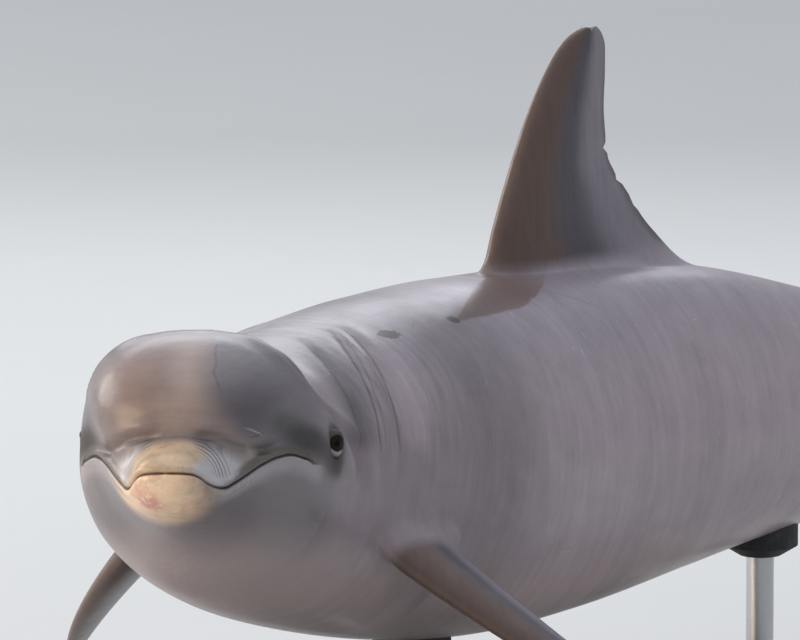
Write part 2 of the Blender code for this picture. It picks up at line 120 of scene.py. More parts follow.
BEAK_HALF_WIDTH = curve([
    (0, 0), (0.002, 0.015), (0.006, 0.025), (0.015, 0.036), (0.03, 0.045), (0.055, 0.053),
    (0.085, 0.064), (0.12, 0.081), (0.16, 0.099), (0.2, 0.115), (0.24, 0.128), (0.28, 0.134),
    (0.335, 0.130), (0.45, 0.10)])
CHEEK_WAIST = curve([
    (0.074, 0.10), (0.10, 0.28), (0.14, 0.34), (0.19, 0.27), (0.24, 0.14), (0.30, 0.03), (0.345, 0)])
ROUNDNESS_ABOVE = curve([
    (0.07, 2.2), (0.12, 2.55), (0.2, 2.5), (0.27, 2.42), (0.36, 2.2), (0.5, 2.15), (0.65, 2.15),
    (1.2, 2.0), (1.6, 1.85), (2.0, 1.6), (2.4, 1.5), (2.6, 2)])
ROUNDNESS_BELOW = curve([
    (0, 2.3), (0.06, 2.0), (0.12, 1.8), (0.22, 1.8), (0.35, 2.1), (0.6, 2.2), (1.2, 2.05),
    (1.6, 1.85), (2.0, 1.6), (2.4, 1.5), (2.6, 2)])
TURN = curve([
    (0, 36.5), (0.28, 36.5), (0.43, 24), (0.60, 12.5), (0.95, 12), (1.3, 0), (1.7, -3), (2.6, -6)])
TILT = curve([
    (0, 14), (0.3, 14), (0.75, 9.7), (1.3, 0.5), (1.65, 6), (2.0, 8), (2.3, 5), (2.6, 1)])
LEAN = curve([(0, -1.7), (0.4, -1.7), (1.0, -0.5), (1.5, -0.5), (2.6, 0)])


def oval(angle, half_width, height, roundness):
    across = np.abs(np.cos(angle)) / np.maximum(half_width, 1e-6)
    upward = np.abs(np.sin(angle)) / np.maximum(height, 1e-6)
    return (across**roundness + upward**roundness) ** (-1 / roundness)


def body_point(x, angle):
    """A point on the straight body: the angle turns from its right side up over the back."""
    x, angle = np.broadcast_arrays(np.asarray(x, float), np.asarray(angle, float))
    middle = MOUTH_LINE(x)
    past_beak = x > BEAK_ROOT
    fade = ease((BEAK_FADED - x) / 0.14)
    blend = 0.006 + 0.02 * ease((x - 0.12) / 0.2)
    cheek = CHEEK_WAIST(x)
    wide = HALF_WIDTH(x) * past_beak
    tall = np.maximum(BACK_LINE(x) - middle, 1e-4) * past_beak
    melon = oval(angle, wide, tall, ROUNDNESS_ABOVE(x))
    melon = melon * (1 - cheek * hill(np.sin(angle), 0.42))
    beak = oval(angle, BEAK_HALF_WIDTH(x), BEAK_HEIGHT(x), 2.25)
    above = np.where(x > BEAK_BLENDED, melon, smooth_max(melon, beak * fade, blend))
    side = wide * (1 - cheek)
    side = np.where(x > BEAK_BLENDED, side, smooth_max(side, BEAK_HALF_WIDTH(x) * fade, blend))
    below = oval(angle, side, np.maximum(middle - BELLY_LINE(x), 1e-4), ROUNDNESS_BELOW(x))
    radius = np.where(np.sin(angle) >= 0, above, below)
    z = middle + radius * np.sin(angle)
    forehead = 0.014 * hill(z - 0.035, 0.045) * ease((z + 0.03) / 0.03)
    forehead = forehead * ease((0.24 - x) / 0.12) * ease((x - 0.07) / 0.02)
    return np.stack([x - forehead, radius * np.cos(angle), z], -1)


def turned_about(axis, degrees):
    angle = math.radians(float(degrees))
    a, b = (axis + 1) % 3, (axis + 2) % 3
    made = np.eye(3)
    made[a, a] = made[b, b] = math.cos(angle)
    made[a, b], made[b, a] = -math.sin(angle), math.sin(angle)
    return made


def spine_frame(station):
    return turned_about(2, TURN(station)) @ turned_about(1, TILT(station)) @ turned_about(0, LEAN(station))


spine_stations = np.arange(0, BODY_LENGTH + SPINE_STEP / 2, SPINE_STEP)
spine_frames = np.array([spine_frame(station) for station in spine_stations])
backward = spine_frames[:, :, 0]
spine_line = np.vstack([
    np.zeros(3), np.cumsum((backward[1:] + backward[:-1]) / 2 * SPINE_STEP, axis=0)])
spine_line += np.array(SPINE_PLACE) - spine_line[int(round(SPINE_ORIGIN / SPINE_STEP))]


def posed(points):
    """Straight-body points carried to the bent spine above the stand."""
    points = np.asarray(points, float)
    x = points[..., 0]
    place = np.clip(x / SPINE_STEP, 0, len(spine_line) - 1.001)
    k = place.astype(int)
    t = (place - k)[..., None]
    centre = spine_line[k] * (1 - t) + spine_line[k + 1] * t
    bend = spine_frames[k] * (1 - t[..., None]) + spine_frames[k + 1] * t[..., None]
    beyond = x - np.clip(x, 0, BODY_LENGTH)
    return (centre + bend[..., :, 0] * beyond[..., None]
            + bend[..., :, 1] * points[..., 1:2] + bend[..., :, 2] * points[..., 2:3])


def spaced(*spans):
    """Stations from one span to the next, each span an (end, count) pair."""
    stations, at = [], spans[0][0]
    for end, count in spans[1:]:
        stations += list(np.linspace(at, end, count, endpoint=False))
        at = end
    return np.array(stations + [at])


# Rings of the sheet run round the body, closest at the beak tip, at the step of the forehead and
# at the eyes.
tip_rings = 0.030 * (np.arange(1, 21) / 20) ** 2.2
head_rings = spaced(
    (0.030, 0), (BEAK_ROOT, 20), (0.115, 48), (0.20, 34), (0.30, 33), (0.37, 30), (0.47, 28))
trunk_rings = spaced((0.47, 0), (0.54, 10), (0.73, 32), (1.06, 25), (1.53, 49), (1.62, 8))
tail_rings = spaced((1.62, 0), (2.33, 48), (2.578, 38))
rings = np.concatenate([tip_rings, head_rings[1:], trunk_rings[1:]])
tail_rings = tail_rings[1:]

# Columns run the length of the body, close together along the mouth on each side. The tail has
# every second one.
CLOSE_COLUMNS, CLOSE_ANGLE, WIDE_COLUMNS = 8, 0.0062, 77
close = CLOSE_ANGLE * np.arange(-CLOSE_COLUMNS, CLOSE_COLUMNS + 1)
wide_gap = np.linspace(close[-1], np.pi - close[-1], WIDE_COLUMNS)[1:-1]
columns = np.concatenate([
    close[CLOSE_COLUMNS:], wide_gap, np.pi + close, np.pi + wide_gap, 2 * np.pi + close[:CLOSE_COLUMNS]])
tail_columns = columns[::2]

front_grid = body_point(rings[:, None], columns[None])
tail_grid = body_point(tail_rings[:, None], tail_columns[None])
points = [front_grid.reshape(-1, 3), tail_grid.reshape(-1, 3)]
point_count = sum(len(part) for part in points)
front_index = np.arange(front_grid.size // 3).reshape(front_grid.shape[:2])
tail_index = np.arange(tail_grid.size // 3).reshape(tail_grid.shape[:2]) + front_index.size
faces = []


class Opening:
    """A block of the sheet left out, where a fin or an eye is let in."""

    def __init__(self, index, first, last, low, high):
        self.index = index
        self.first, self.last, self.low, self.high = first, last, low, high
        middle = (low + high) // 2
        walk = [(first, j) for j in range(middle, high)] + [(i, high) for i in range(first, last)]
        walk += [(last, j) for j in range(high, low, -1)] + [(i, low) for i in range(last, first, -1)]
        walk += [(first, j) for j in range(low, middle)]
        self.walk = walk
        self.loop = np.array([index[i, j % index.shape[1]] for i, j in walk])

    def cells(self):
        n = self.index.shape[1]
        return {(i, j % n) for i in range(self.first, self.last) for j in range(self.low, self.high)}


def nearest(values, wanted):
    return int(np.argmin(np.abs(values - wanted)))


def let_in(opening, layers, end_point=None):
    """Stitches layers of points, each one per edge point, into an opening of the sheet.

    The last layer is drawn to the end point, or closed flat across where there is none.
    """
    global point_count
    loop = opening.loop
    n = len(loop)
    for layer in layers:
        points.append(layer)
        fresh = np.arange(point_count, point_count + n)
        point_count += n
        for k in range(n):
            m = (k + 1) % n
            faces.append((loop[k], loop[m], fresh[m], fresh[k]))
        loop = fresh
    if end_point is None:
        half = n // 2
        faces.append((loop[0], loop[1], loop[n - 1]))
        for k in range(1, half - 1):
            faces.append((loop[k], loop[k + 1], loop[n - k - 1], loop[n - k]))
        faces.append((loop[half - 1], loop[half], loop[half + 1]))
    else:
        points.append(np.array([end_point]))
        for k in range(n):
            faces.append((loop[k], loop[(k + 1) % n], point_count))
        point_count += 1


def unit(rows):
    return rows / np.linalg.norm(rows, axis=1)[:, None]


def bridge(layers, end, arrive, pulls, count):
    """Adds layers from the last one to an end, leaving as the last two run and arriving as told."""
    start = layers[-1]
    reach = np.linalg.norm(end - start, axis=1)[:, None]
    leave = unit(start - layers[-2]) * reach * pulls[0]
    arrive = unit(arrive) * reach * pulls[1]
    for s in np.arange(1, count + 1) / count:
        layers.append((1 + 2 * s) * (1 - s) ** 2 * start + s * (1 - s) ** 2 * leave
                      + s * s * (3 - 2 * s) * end - s * s * (1 - s) * arrive)


FAIRING_SHARES = (0.22, 0.42, 0.60, 0.76, 0.89, 1.0)
BLADE_EDGE = 0.0018


def grow_fin(sheet, ends, middle, reach, outline, place, root, levels):
    """A streamlined fin grown out of an opening: a fairing laid on the body, then the blade.

    The opening runs between two stations, and reach columns to each side of the middle one.
    Its outline is the leading edge, the trailing edge and the thickness at each level.
    """
    index, rings_of, columns_of = sheet
    first, last = (nearest(rings_of, end) for end in ends)
    opening = Opening(index, first, last, middle - reach, middle + reach)
    leading, trailing, thickness = outline
    long_half, tall_half, flare, first_level = root
    n_columns = len(columns_of)
    x = np.array([rings_of[i] for i, j in opening.walk])
    turn = np.array([
        columns_of[j % n_columns] + 2 * np.pi * (j // n_columns) for i, j in opening.walk])
    middle_x = (rings_of[first] + rings_of[last]) / 2
    middle_turn = columns_of[middle % n_columns]
    half_x = (rings_of[last] - rings_of[first]) / 2
    half_turn = (turn.max() - turn.min()) / 2
    angle = np.arctan2((turn - middle_turn) / half_turn, (middle_x - x) / half_x)
    spine = np.array([0, float(MOUTH_LINE(middle_x))])
    girth = np.linalg.norm(body_point(middle_x, middle_turn)[1:] - spine)
    fair_x = middle_x - long_half * np.cos(angle)
    fair_turn = middle_turn + tall_half / girth * np.sin(angle)
    layers = []
    for share in FAIRING_SHARES:
        layers.append(body_point(x + (fair_x - x) * share, turn + (fair_turn - turn) * share))
    share = (1 - np.cos(angle)) / 2
    swell = (1.299 * np.abs(np.sin(angle / 2)) * np.cos(angle / 2) ** 2 * np.sign(np.sin(angle)))
    edge = BLADE_EDGE * np.sin(angle)

    def section(level, side):
        chord = leading(level) + (trailing(level) - leading(level)) * share
        depth = side * (thickness(level) * swell + edge)
        return place(chord, depth, level + 0 * angle)

    misfit = [np.linalg.norm(section(first_level, side) - layers[-1], axis=1).sum() for side in (1, -1)]
    side = 1 if misfit[0] < misfit[1] else -1
    base = section(first_level, side)
    bridge(layers, base, section(first_level + 0.01, side) - base, (flare, flare), 9)
    let_in(opening, layers + [section(level, side) for level in levels])
    return opening


# Dorsal fin: a tall swept blade of the same skin, drawn out of the back over a wide fairing. It is
# notched at its tip and nicked along its worn trailing edge.
front_sheet = (front_index, rings, columns)
tail_sheet = (tail_index, tail_rings, tail_columns)
DORSAL_HEIGHT = 0.314
DORSAL_LEADING = curve([
    (-0.2, 1.063), (0, 1.081), (0.146, 1.094), (0.264, 1.110), (0.37, 1.127), (0.47, 1.143),
    (0.59, 1.163), (0.688, 1.182), (0.767, 1.199), (0.838, 1.217), (0.904, 1.236),
    (0.955, 1.256), (0.984, 1.274), (1, 1.290)])
DORSAL_TRAILING = curve([
    (-0.2, 1.57), (-0.06, 1.50), (-0.019, 1.477), (0.025, 1.451), (0.083, 1.425),
    (0.156, 1.402), (0.236, 1.383), (0.3, 1.367), (0.36, 1.352), (0.43, 1.339), (0.51, 1.335),
    (0.66, 1.331), (0.8, 1.333), (0.904, 1.333), (0.955, 1.328), (0.985, 1.321), (1, 1.314)])
DORSAL_THICKNESS = curve([
    (-0.2, 0.110), (-0.05, 0.092), (0, 0.070), (0.06, 0.058), (0.15, 0.050), (0.35, 0.043),
    (0.6, 0.032), (0.85, 0.020), (1, 0.010)])
NICKS = ((0.475, 0.008, 0.012), (0.330, 0.006, 0.014), (0.215, 0.004, 0.016))
TIP_NOTCH, NOTCH_DEEP, NOTCH_WIDE = 1.303, 0.009, 0.0045
dorsal_root = float(BACK_LINE(1.15))


def on_back(chord, depth, level):
    leading, trailing = DORSAL_LEADING(level), DORSAL_TRAILING(level)
    share = np.clip((chord - leading) / (trailing - leading), 0, 1)
    for at, deep, tall in NICKS:
        chord = chord - deep * hill(level - at, tall) * share**6
    notch = NOTCH_DEEP * hill(chord - TIP_NOTCH, NOTCH_WIDE) * ease((level - 0.90) / 0.1)
    return np.stack([chord, depth, dorsal_root + DORSAL_HEIGHT * level - notch], -1)


dorsal_levels = [*np.linspace(0.11, 0.90, 34), 0.92, 0.94, 0.955, 0.967, 0.977, 0.985, 0.991, 0.996, 0.999]
openings = [grow_fin(
    front_sheet, (1.030, 1.530), nearest(columns, np.pi / 2), 7,
    (DORSAL_LEADING, DORSAL_TRAILING, DORSAL_THICKNESS), on_back, (0.224, 0.044, 1.0, 0.09), dorsal_levels)]

# Flippers: paddles of the same skin, low on the flanks behind the neck, swept back and held out
# and down. One is drawn out of each flank, and their tips curl down a little.
FLIPPER_STATION = 0.635
FLIPPER_ROOT_ANGLE = math.radians(29)
FLIPPER_SPAN = 0.335
FLIPPER_DROOP = math.radians(38)
FLIPPER_LEADING = curve([
    (-0.2, -0.082), (0, -0.080), (0.12, -0.066), (0.3, -0.034), (0.5, 0.010), (0.7, 0.066),
    (0.86, 0.124), (0.95, 0.166), (1, 0.196)])
FLIPPER_TRAILING = curve([
    (-0.2, 0.074), (0, 0.074), (0.1, 0.072), (0.25, 0.084), (0.45, 0.110), (0.65, 0.140),
    (0.82, 0.170), (0.93, 0.192), (1, 0.206)])
FLIPPER_THICKNESS = curve([
    (-0.2, 0.062), (0, 0.050), (0.08, 0.040), (0.25, 0.034), (0.6, 0.022), (0.85, 0.013), (1, 0.007)])
FLIPPER_SWEEP = (0.985, 0, 0.174)
FLIPPER_CURL = 0.02


def flipper_place(side):
    out = np.array([0, side * math.cos(FLIPPER_DROOP), -math.sin(FLIPPER_DROOP)])
    back = np.array(FLIPPER_SWEEP)
    back = back - out * (back @ out)
    back = back / np.linalg.norm(back)
    flat = np.cross(back, out)
    root = body_point(FLIPPER_STATION, math.pi + FLIPPER_ROOT_ANGLE) * np.array([1, -side, 1])

    def place(chord, depth, level):
        span = level * FLIPPER_SPAN
        curl = FLIPPER_CURL * level**2
        return (root + back * chord[..., None] + out * span[..., None]
                + flat * depth[..., None] - np.array([0, 0, 1]) * curl[..., None])

    return place


TIP_LEVELS = [0.93, 0.955, 0.973, 0.986, 0.995]
for side, around in ((-1, math.pi + FLIPPER_ROOT_ANGLE), (1, 2 * math.pi - FLIPPER_ROOT_ANGLE)):
    openings.append(grow_fin(
        front_sheet, (0.522, 0.752), nearest(columns, around), 6,
        (FLIPPER_LEADING, FLIPPER_TRAILING, FLIPPER_THICKNESS), flipper_place(side),
        (0.092, 0.040, 0.9, 0.10), [*np.linspace(0.13, 0.90, 22), *TIP_LEVELS]))

# Flukes: two level blades of the same skin, one drawn out of each side of the tail stock, with a
# notch between them and tips that turn up a little.
FLUKE_SPAN = 0.310
FLUKE_CURL = 0.012
FLUKE_GAP = 0.0018
FLUKE_LEADING = curve([
    (0, 2.330), (0.1, 2.362), (0.25, 2.408), (0.45, 2.464), (0.65, 2.522), (0.82, 2.576),
    (0.94, 2.622), (1, 2.656)])
FLUKE_TRAILING = curve([
    (0, 2.594), (0.05, 2.606), (0.15, 2.620), (0.3, 2.624), (0.5, 2.619), (0.7, 2.622),
    (0.88, 2.642), (1, 2.664)])
FLUKE_THICKNESS = curve([
    (0, 0.056), (0.08, 0.044), (0.2, 0.031), (0.5, 0.022), (0.8, 0.014), (1, 0.007)])


def fluke_place(side):
    def place(chord, depth, level):
        y = side * (FLUKE_GAP + FLUKE_SPAN * level)
        return np.stack([chord, y, depth + FLUKE_CURL * level**2], -1)

    return place


tail_openings = []
for side, around in ((-1, math.pi), (1, 0)):
    tail_openings.append(grow_fin(
        tail_sheet, (2.345, 2.572), nearest(tail_columns, around), 13,
        (FLUKE_LEADING, FLUKE_TRAILING, FLUKE_THICKNESS), fluke_place(side),
        (0.112, 0.016, 0.9, 0.13), [*np.linspace(0.16, 0.90, 24), *TIP_LEVELS]))

# Eyelids: the skin dips in a fold round each eye, rises in a soft lid over the eyeball and turns
# in round it, drawn out of an opening as the fins are. The lower lid is the thicker one.
EYE_RADIUS = 0.0165
EYE_PLACE = (0.356, 0.1520, -0.003)
EYE_FORWARD = math.radians(33)
EYE_DOWN = math.radians(6)
EYE_OPEN_WIDE = 0.0124
EYE_OPEN_TALL = 0.0096
LID_THICK = 0.0034
FOLD_WIDE = 0.0225
FOLD_TALL = 0.0205
FOLD_DEEP = 0.0016
OPEN_ROUND = 1.9
LINING_GAP = 0.0005
eye_seats = {}
for side in (-1, 1):
    centre = np.array([EYE_PLACE[0], side * EYE_PLACE[1], EYE_PLACE[2]])
    gaze = np.array([
        -math.sin(EYE_FORWARD) * math.cos(EYE_DOWN),
        side * math.cos(EYE_FORWARD) * math.cos(EYE_DOWN),
        -math.sin(EYE_DOWN)])
    level = np.cross([0, 0, 1], gaze)
    level /= np.linalg.norm(level)
    upward = np.cross(gaze, level)
    eye_seats[side] = (centre, gaze, level, upward)

    def skin_beside(x, climb):
        return body_point(x, climb) * np.array([1, side, 1])

    out = 0.011
    for _ in range(6):
        met = centre + gaze * out
        spine_height = float(MOUTH_LINE(met[0]))
        climb = math.atan2(met[2] - spine_height, abs(met[1]))
        skin_met = skin_beside(met[0], climb)
        out += (math.hypot(skin_met[1], skin_met[2] - spine_height)
                - math.hypot(met[1], met[2] - spine_height))
    middle_x, middle_climb, girth = met[0], climb, abs(skin_met[1])
    outward = np.cross(skin_beside(middle_x, climb + 0.05) - skin_beside(middle_x, climb - 0.05),
                       skin_beside(middle_x + 0.01, climb) - skin_beside(middle_x - 0.01, climb))
    outward *= np.sign(outward[1] * side) / np.linalg.norm(outward)
    ends = (0.034, middle_climb + 0.235)
    if side < 0:
        ends = (math.pi - ends[1], math.pi - ends[0])
    opening = Opening(front_index, nearest(rings, middle_x - 0.036), nearest(rings, middle_x + 0.038),
                      nearest(columns, ends[0]), nearest(columns, ends[1]))
    edge_x = np.array([rings[i] for i, j in opening.walk])
    edge_climb = np.array([columns[j] for i, j in opening.walk])
    edge_climb = np.pi - edge_climb if side < 0 else edge_climb
    bearing = np.arctan2((edge_climb - middle_climb) * girth / FOLD_TALL,
                         (edge_x - middle_x) / FOLD_WIDE)
    fold_x = middle_x + FOLD_WIDE * np.cos(bearing)
    fold_climb = middle_climb + FOLD_TALL / girth * np.sin(bearing)
    layers = []
    for share in (0.14, 0.28, 0.42, 0.54, 0.65, 0.74, 0.82, 0.88, 0.93, 0.97, 1.0):
        dip = -FOLD_DEEP * hill(1 - share, 0.16)
        layer = skin_beside(edge_x + (fold_x - edge_x) * share,
                            edge_climb + (fold_climb - edge_climb) * share)
        layers.append(layer + outward * dip)
    rays = layers[-1] - centre
    flat = unit(rays - (rays @ gaze)[:, None] * gaze)
    across, tall = flat @ level, flat @ upward
    part = (np.abs(across / EYE_OPEN_WIDE) ** OPEN_ROUND
            + np.abs(tall / EYE_OPEN_TALL) ** OPEN_ROUND) ** (-1 / OPEN_ROUND)
    slit = np.arcsin(np.clip(part / EYE_RADIUS, 0, 0.95))
    lid_radius = EYE_RADIUS + LID_THICK + 0.0010 * np.clip(-tall, 0, 1)
    roll = 0.28 + 0.16 * np.clip(-tall, 0, 1)

    def lid(turn, radius):
        radius = np.broadcast_to(radius, turn.shape)[:, None]
        return centre + radius * (np.cos(turn)[:, None] * gaze + np.sin(turn)[:, None] * flat)

    shoulder = slit + roll
    crest = lid(shoulder, lid_radius)
    bridge(layers, crest, lid(shoulder - 0.05, lid_radius) - crest, (0.8, 0.9), 8)
    for share in (0.25, 0.5, 0.72, 0.88):
        layers.append(lid(shoulder - (roll - 0.04) * share, lid_radius - 0.0003 * share))
    layers.append(lid(slit + 0.035, lid_radius - 0.0007))
    layers.append(lid(slit + 0.008, lid_radius - 0.0014))
    layers.append(lid(slit, EYE_RADIUS + 0.0012))
    layers.append(lid(slit + 0.02, EYE_RADIUS + LINING_GAP))
    for share in (0.12, 0.3, 0.5, 0.72, 0.92):
        layers.append(lid(slit + (np.pi - slit) * share, EYE_RADIUS + LINING_GAP))
    let_in(opening, layers, centre - gaze * (EYE_RADIUS + LINING_GAP))
    openings.append(opening)

# The rest of the sheet: the rings between the openings, sewn to the sparser ones of the tail and
# closed at the beak tip and in the notch of the flukes.
BEAK_TIP = (0, 0, float(MOUTH_LINE(0)) - 0.0004)
TAIL_END = (2.5795, 0, 0)


def quilt(index, cut):
    """The faces between neighbouring rings, but for those that the openings cut out."""
    gone = set().union(*[opening.cells() for opening in cut])
    count = index.shape[1]
    for i in range(len(index) - 1):
        for j in range(count):
            k = (j + 1) % count
            if (i, j) not in gone:
                faces.append((index[i, j], index[i, k], index[i + 1, k], index[i + 1, j]))


quilt(front_index, openings)
last_ring, next_ring = front_index[-1], tail_index[0]
for j in range(len(tail_columns)):
    a, b, c = (last_ring[(2 * j + step) % len(last_ring)] for step in (0, 1, 2))
    d, e = next_ring[j], next_ring[(j + 1) % len(next_ring)]
    faces += [(a, b, d), (b, e, d), (b, c, e)]
quilt(tail_index, tail_openings)
points.append(np.array([BEAK_TIP, TAIL_END]))
faces += [(b, a, point_count) for a, b in zip(front_index[0], np.roll(front_index[0], -1))]
faces += [(a, b, point_count + 1) for a, b in zip(tail_index[-1], np.roll(tail_index[-1], -1))]
straight = np.concatenate(points)

skin_mesh = bpy.data.meshes.new("dolphin_skin")
skin_mesh.from_pydata(straight.tolist(), [], faces)
shape = bmesh.new()
shape.from_mesh(skin_mesh)
loose = [vertex for vertex in shape.verts if not vertex.link_faces]
kept = np.array([bool(vertex.link_faces) for vertex in shape.verts])
bmesh.ops.delete(shape, geom=loose, context="VERTS")
bmesh.ops.recalc_face_normals(shape, faces=shape.faces)
shape.to_mesh(skin_mesh)
shape.free()
straight = straight[kept]
normal = np.empty(len(straight) * 3, np.float32)
skin_mesh.vertex_normals.foreach_get("vector", normal)
normal = normal.reshape(-1, 3).astype(float)

# Mouth: a thin closed line with a rounded lip above and below, ending in a small hooked fold.
# It is pressed into the finished sheet, as are the creases and folds that follow.
MOUTH_CORNER = 0.262
x, y, z = straight.T
sink = np.zeros(len(straight))


def press(height, off_line, width, where):
    """Raises the skin along a line by a height, or presses it in where that is below 0."""
    global sink
    sink += height * hill(off_line, width) * where


hook = 0.006 * ease((x - MOUTH_CORNER + 0.012) / 0.02)
above_line = z - MOUTH_LINE(x) + hook
on_side = ease((0.075 - np.abs(above_line)) / 0.03) * (x < 0.31)
closing = ease((MOUTH_CORNER + 0.012 - x) / 0.02) * on_side
press(-0.0050, above_line, 0.0016, closing)
press(0.0022, above_line - 0.0065, 0.0042, closing)
press(0.0016, above_line + 0.0065, 0.0045, closing)

# Lip crease: the fold between the upper lip and the melon, from the beak's root to the gape,
# with the skin swollen a little on both sides of it.
LIP_BAND = curve([
    (0.078, 0.066), (0.088, 0.061), (0.093, 0.057), (0.105, 0.046), (0.12, 0.036),
    (0.136, 0.026), (0.155, 0.018), (0.18, 0.012), (0.22, 0.009)])
from_crease = z - MOUTH_LINE(x) - LIP_BAND(x)
on_band = ease((x - 0.070) / 0.012) * ease((0.215 - x) / 0.06) * ease((np.abs(y) - 0.016) / 0.02)
on_band = on_band * (z > MOUTH_LINE(x))
press(-0.0052, from_crease, 0.0042, on_band)
press(0.0024, from_crease - 0.011, 0.008, on_band)
press(0.0014, from_crease + 0.009, 0.006, on_band)

# Neck: the crease that curves up behind each eye, and the soft folds of the turned neck.
# Each fold is its lower end, how far it swings back over the nape, and its depth.
climb = np.degrees(np.arctan2(z - MOUTH_LINE(x), np.abs(y)))
CREASE_LINE = curve([
    (-20, 0.475), (0, 0.455), (7, 0.438), (14, 0.412), (22, 0.374), (29, 0.328), (36, 0.282),
    (44, 0.254), (52, 0.246), (62, 0.256), (75, 0.290)])
NECK_FOLDS = ((0.516, 0.053, 0.0024), (0.563, 0.036, 0.0022), (0.455, 0.050, 0.0014))
on_crease = ease((climb + 14) / 14) * (0.35 + 0.65 * ease((86 - climb) / 34))
from_groove = x - CREASE_LINE(climb)
press(-0.0072, from_groove, 0.0135, on_crease)
press(0.0036, from_groove + 0.032, 0.020, on_crease)
press(0.0034, from_groove - 0.030, 0.020, on_crease)
on_fold = ease((climb + 16) / 20) * ease((86 - climb) / 26)
from_folds = []
for low_end, swing, deep in NECK_FOLDS:
    from_fold = x - (low_end + swing * (np.clip(climb - 12, 0, 60) / 48) ** 1.6)
    from_folds.append(from_fold)
    press(-deep, from_fold, 0.0090, on_fold)
    press(0.7 * deep, from_fold - 0.019, 0.012, on_fold)

# Blowhole: a closed crescent pressed into the top of the head, horns forward, with a low lip
# before it.
BLOWHOLE_PLACE = 0.252
BLOWHOLE_WIDE = 0.046
share = np.clip(np.abs(y) / (BLOWHOLE_WIDE / 2), 0, 1.4)
crescent = BLOWHOLE_PLACE + 0.014 * (1 - share**2)
on_top = (z > 0.08) * ease((1.25 - share) / 0.35)
press(-0.0040, x - crescent, 0.0030, on_top)
press(0.0015, x - crescent + 0.009, 0.006, on_top)
straight = straight + normal * sink[:, None]
placed = posed(straight)
skin_mesh.vertices.foreach_set("co", placed.astype(np.float32).ravel())
skin_mesh.update()


def placed_as(name, data):
    """A new object in the scene: a piece from its mesh, a lamp or a camera."""
    made = bpy.data.objects.new(name, data)
    bpy.context.collection.objects.link(made)
    return made


def smooth_piece(name, mesh):
    mesh.polygons.foreach_set("use_smooth", [True] * len(mesh.polygons))
    return placed_as(name, mesh)


def hold(mesh, name, layout):
    """Keeps three measures at each point of a mesh, for its finish to read."""
    held = mesh.attributes.new(name, "FLOAT_VECTOR", "POINT")
    held.data.foreach_set("vector", layout.astype(np.float32).ravel())


skin = smooth_piece("dolphin_skin", skin_mesh)

# Layout of the markings: each point of the skin keeps its place on the straight body, how far it
# is from the mouth, the creases and the cheek's edge, and where it lies on its fin.
CHEEK_TOP = curve([
    (0.078, 0.030), (0.086, 0.043), (0.102, 0.052), (0.14, 0.053), (0.186, 0.043),
    (0.246, 0.029), (0.285, 0.012), (0.32, -0.002)])
in_cheek = np.maximum(-y - 0.040 + (0.043 - z) * 0.25, y - 0.100) * 0.8
in_cheek = np.minimum(CHEEK_TOP(x) - z, in_cheek)
in_cheek = np.minimum(in_cheek, from_crease + 0.002)
fin_share, fin_level = np.zeros(len(x)), np.full(len(x), -1.0)


def share_across(place, leading, trailing, level):
    return (place - leading(level)) / (trailing(level) - leading(level))


near_dorsal = (x > 0.95) & (x < 1.62) & (z > 0.12)
level = (z - dorsal_root) / DORSAL_HEIGHT
fin_share[near_dorsal] = share_across(x, DORSAL_LEADING, DORSAL_TRAILING, level)[near_dorsal]
fin_level[near_dorsal] = level[near_dorsal]
near_fluke = x > 2.2
level = np.abs(y) / FLUKE_SPAN
fin_share[near_fluke] = share_across(x, FLUKE_LEADING, FLUKE_TRAILING, level)[near_fluke]
fin_level[near_fluke] = np.minimum(level - 0.10, x - 2.31)[near_fluke]
near_flipper = (x > 0.45) & (x < 0.95) & (z < 0)
out_way = np.array([0, math.cos(FLIPPER_DROOP), -math.sin(FLIPPER_DROOP)])
flipper_root = body_point(FLIPPER_STATION, math.pi + FLIPPER_ROOT_ANGLE) * np.array([1, -1, 1])
from_root = np.stack([x, np.abs(y), z], -1) - flipper_root
level = from_root @ out_way / FLIPPER_SPAN
share = share_across(from_root[:, 0], FLIPPER_LEADING, FLIPPER_TRAILING, level)
in_chord = np.maximum(np.minimum(share + 0.12, 1.12 - share) * 0.6, level - 0.25)
fin_share[near_flipper] = share[near_flipper]
fin_level[near_flipper] = np.minimum(level - 0.04, in_chord)[near_flipper]
hold(skin_mesh, "laid_out", straight)
hold(skin_mesh, "mouth_ways", np.stack([above_line, from_crease, climb / 100], -1))
hold(skin_mesh, "cheek_way", np.stack([in_cheek, 0 * x, 0 * x], -1))
hold(skin_mesh, "neck_ways", np.stack(from_folds, -1))
hold(skin_mesh, "fin_ways", np.stack([fin_share, fin_level, 0 * x], -1))


class Value:
    """A shader value that can be added, scaled and compared like a number."""

    def __init__(self, finish, socket):
        self.finish, self.socket = finish, socket

    def maths(self, operation, *others):
        return self.finish.node("ShaderNodeMath", {"operation": operation}, [self, *others])

    def __add__(self, other):
        return self.maths("ADD", other)

    def __sub__(self, other):
        return self.maths("SUBTRACT", other)

    def __rsub__(self, other):
        return self.finish.node("ShaderNodeMath", {"operation": "SUBTRACT"}, [other, self])

    def __mul__(self, other):
        return self.maths("MULTIPLY", other)

    def __truediv__(self, other):
        return self.maths("DIVIDE", other)

    def __pow__(self, other):
        return self.maths("POWER", other)

    __radd__, __rmul__ = __add__, __mul__

    def at_most(self, limit):
        return self.maths("MINIMUM", limit)

    def at_least(self, limit):
        return self.maths("MAXIMUM", limit)

    def step(self, low, high):
        """0 below low, 1 above high, easing between; high may be the lower of the two."""
        return self.finish.node("ShaderNodeMapRange", {"interpolation_type": "SMOOTHSTEP"},
                                {0: self, 1: low, 2: high, 3: 0.0, 4: 1.0})

    def near(self, centre, width):
        """1 at the centre, easing to 0 one width away."""
        return (self - centre).maths("ABSOLUTE").step(width, 0.0)


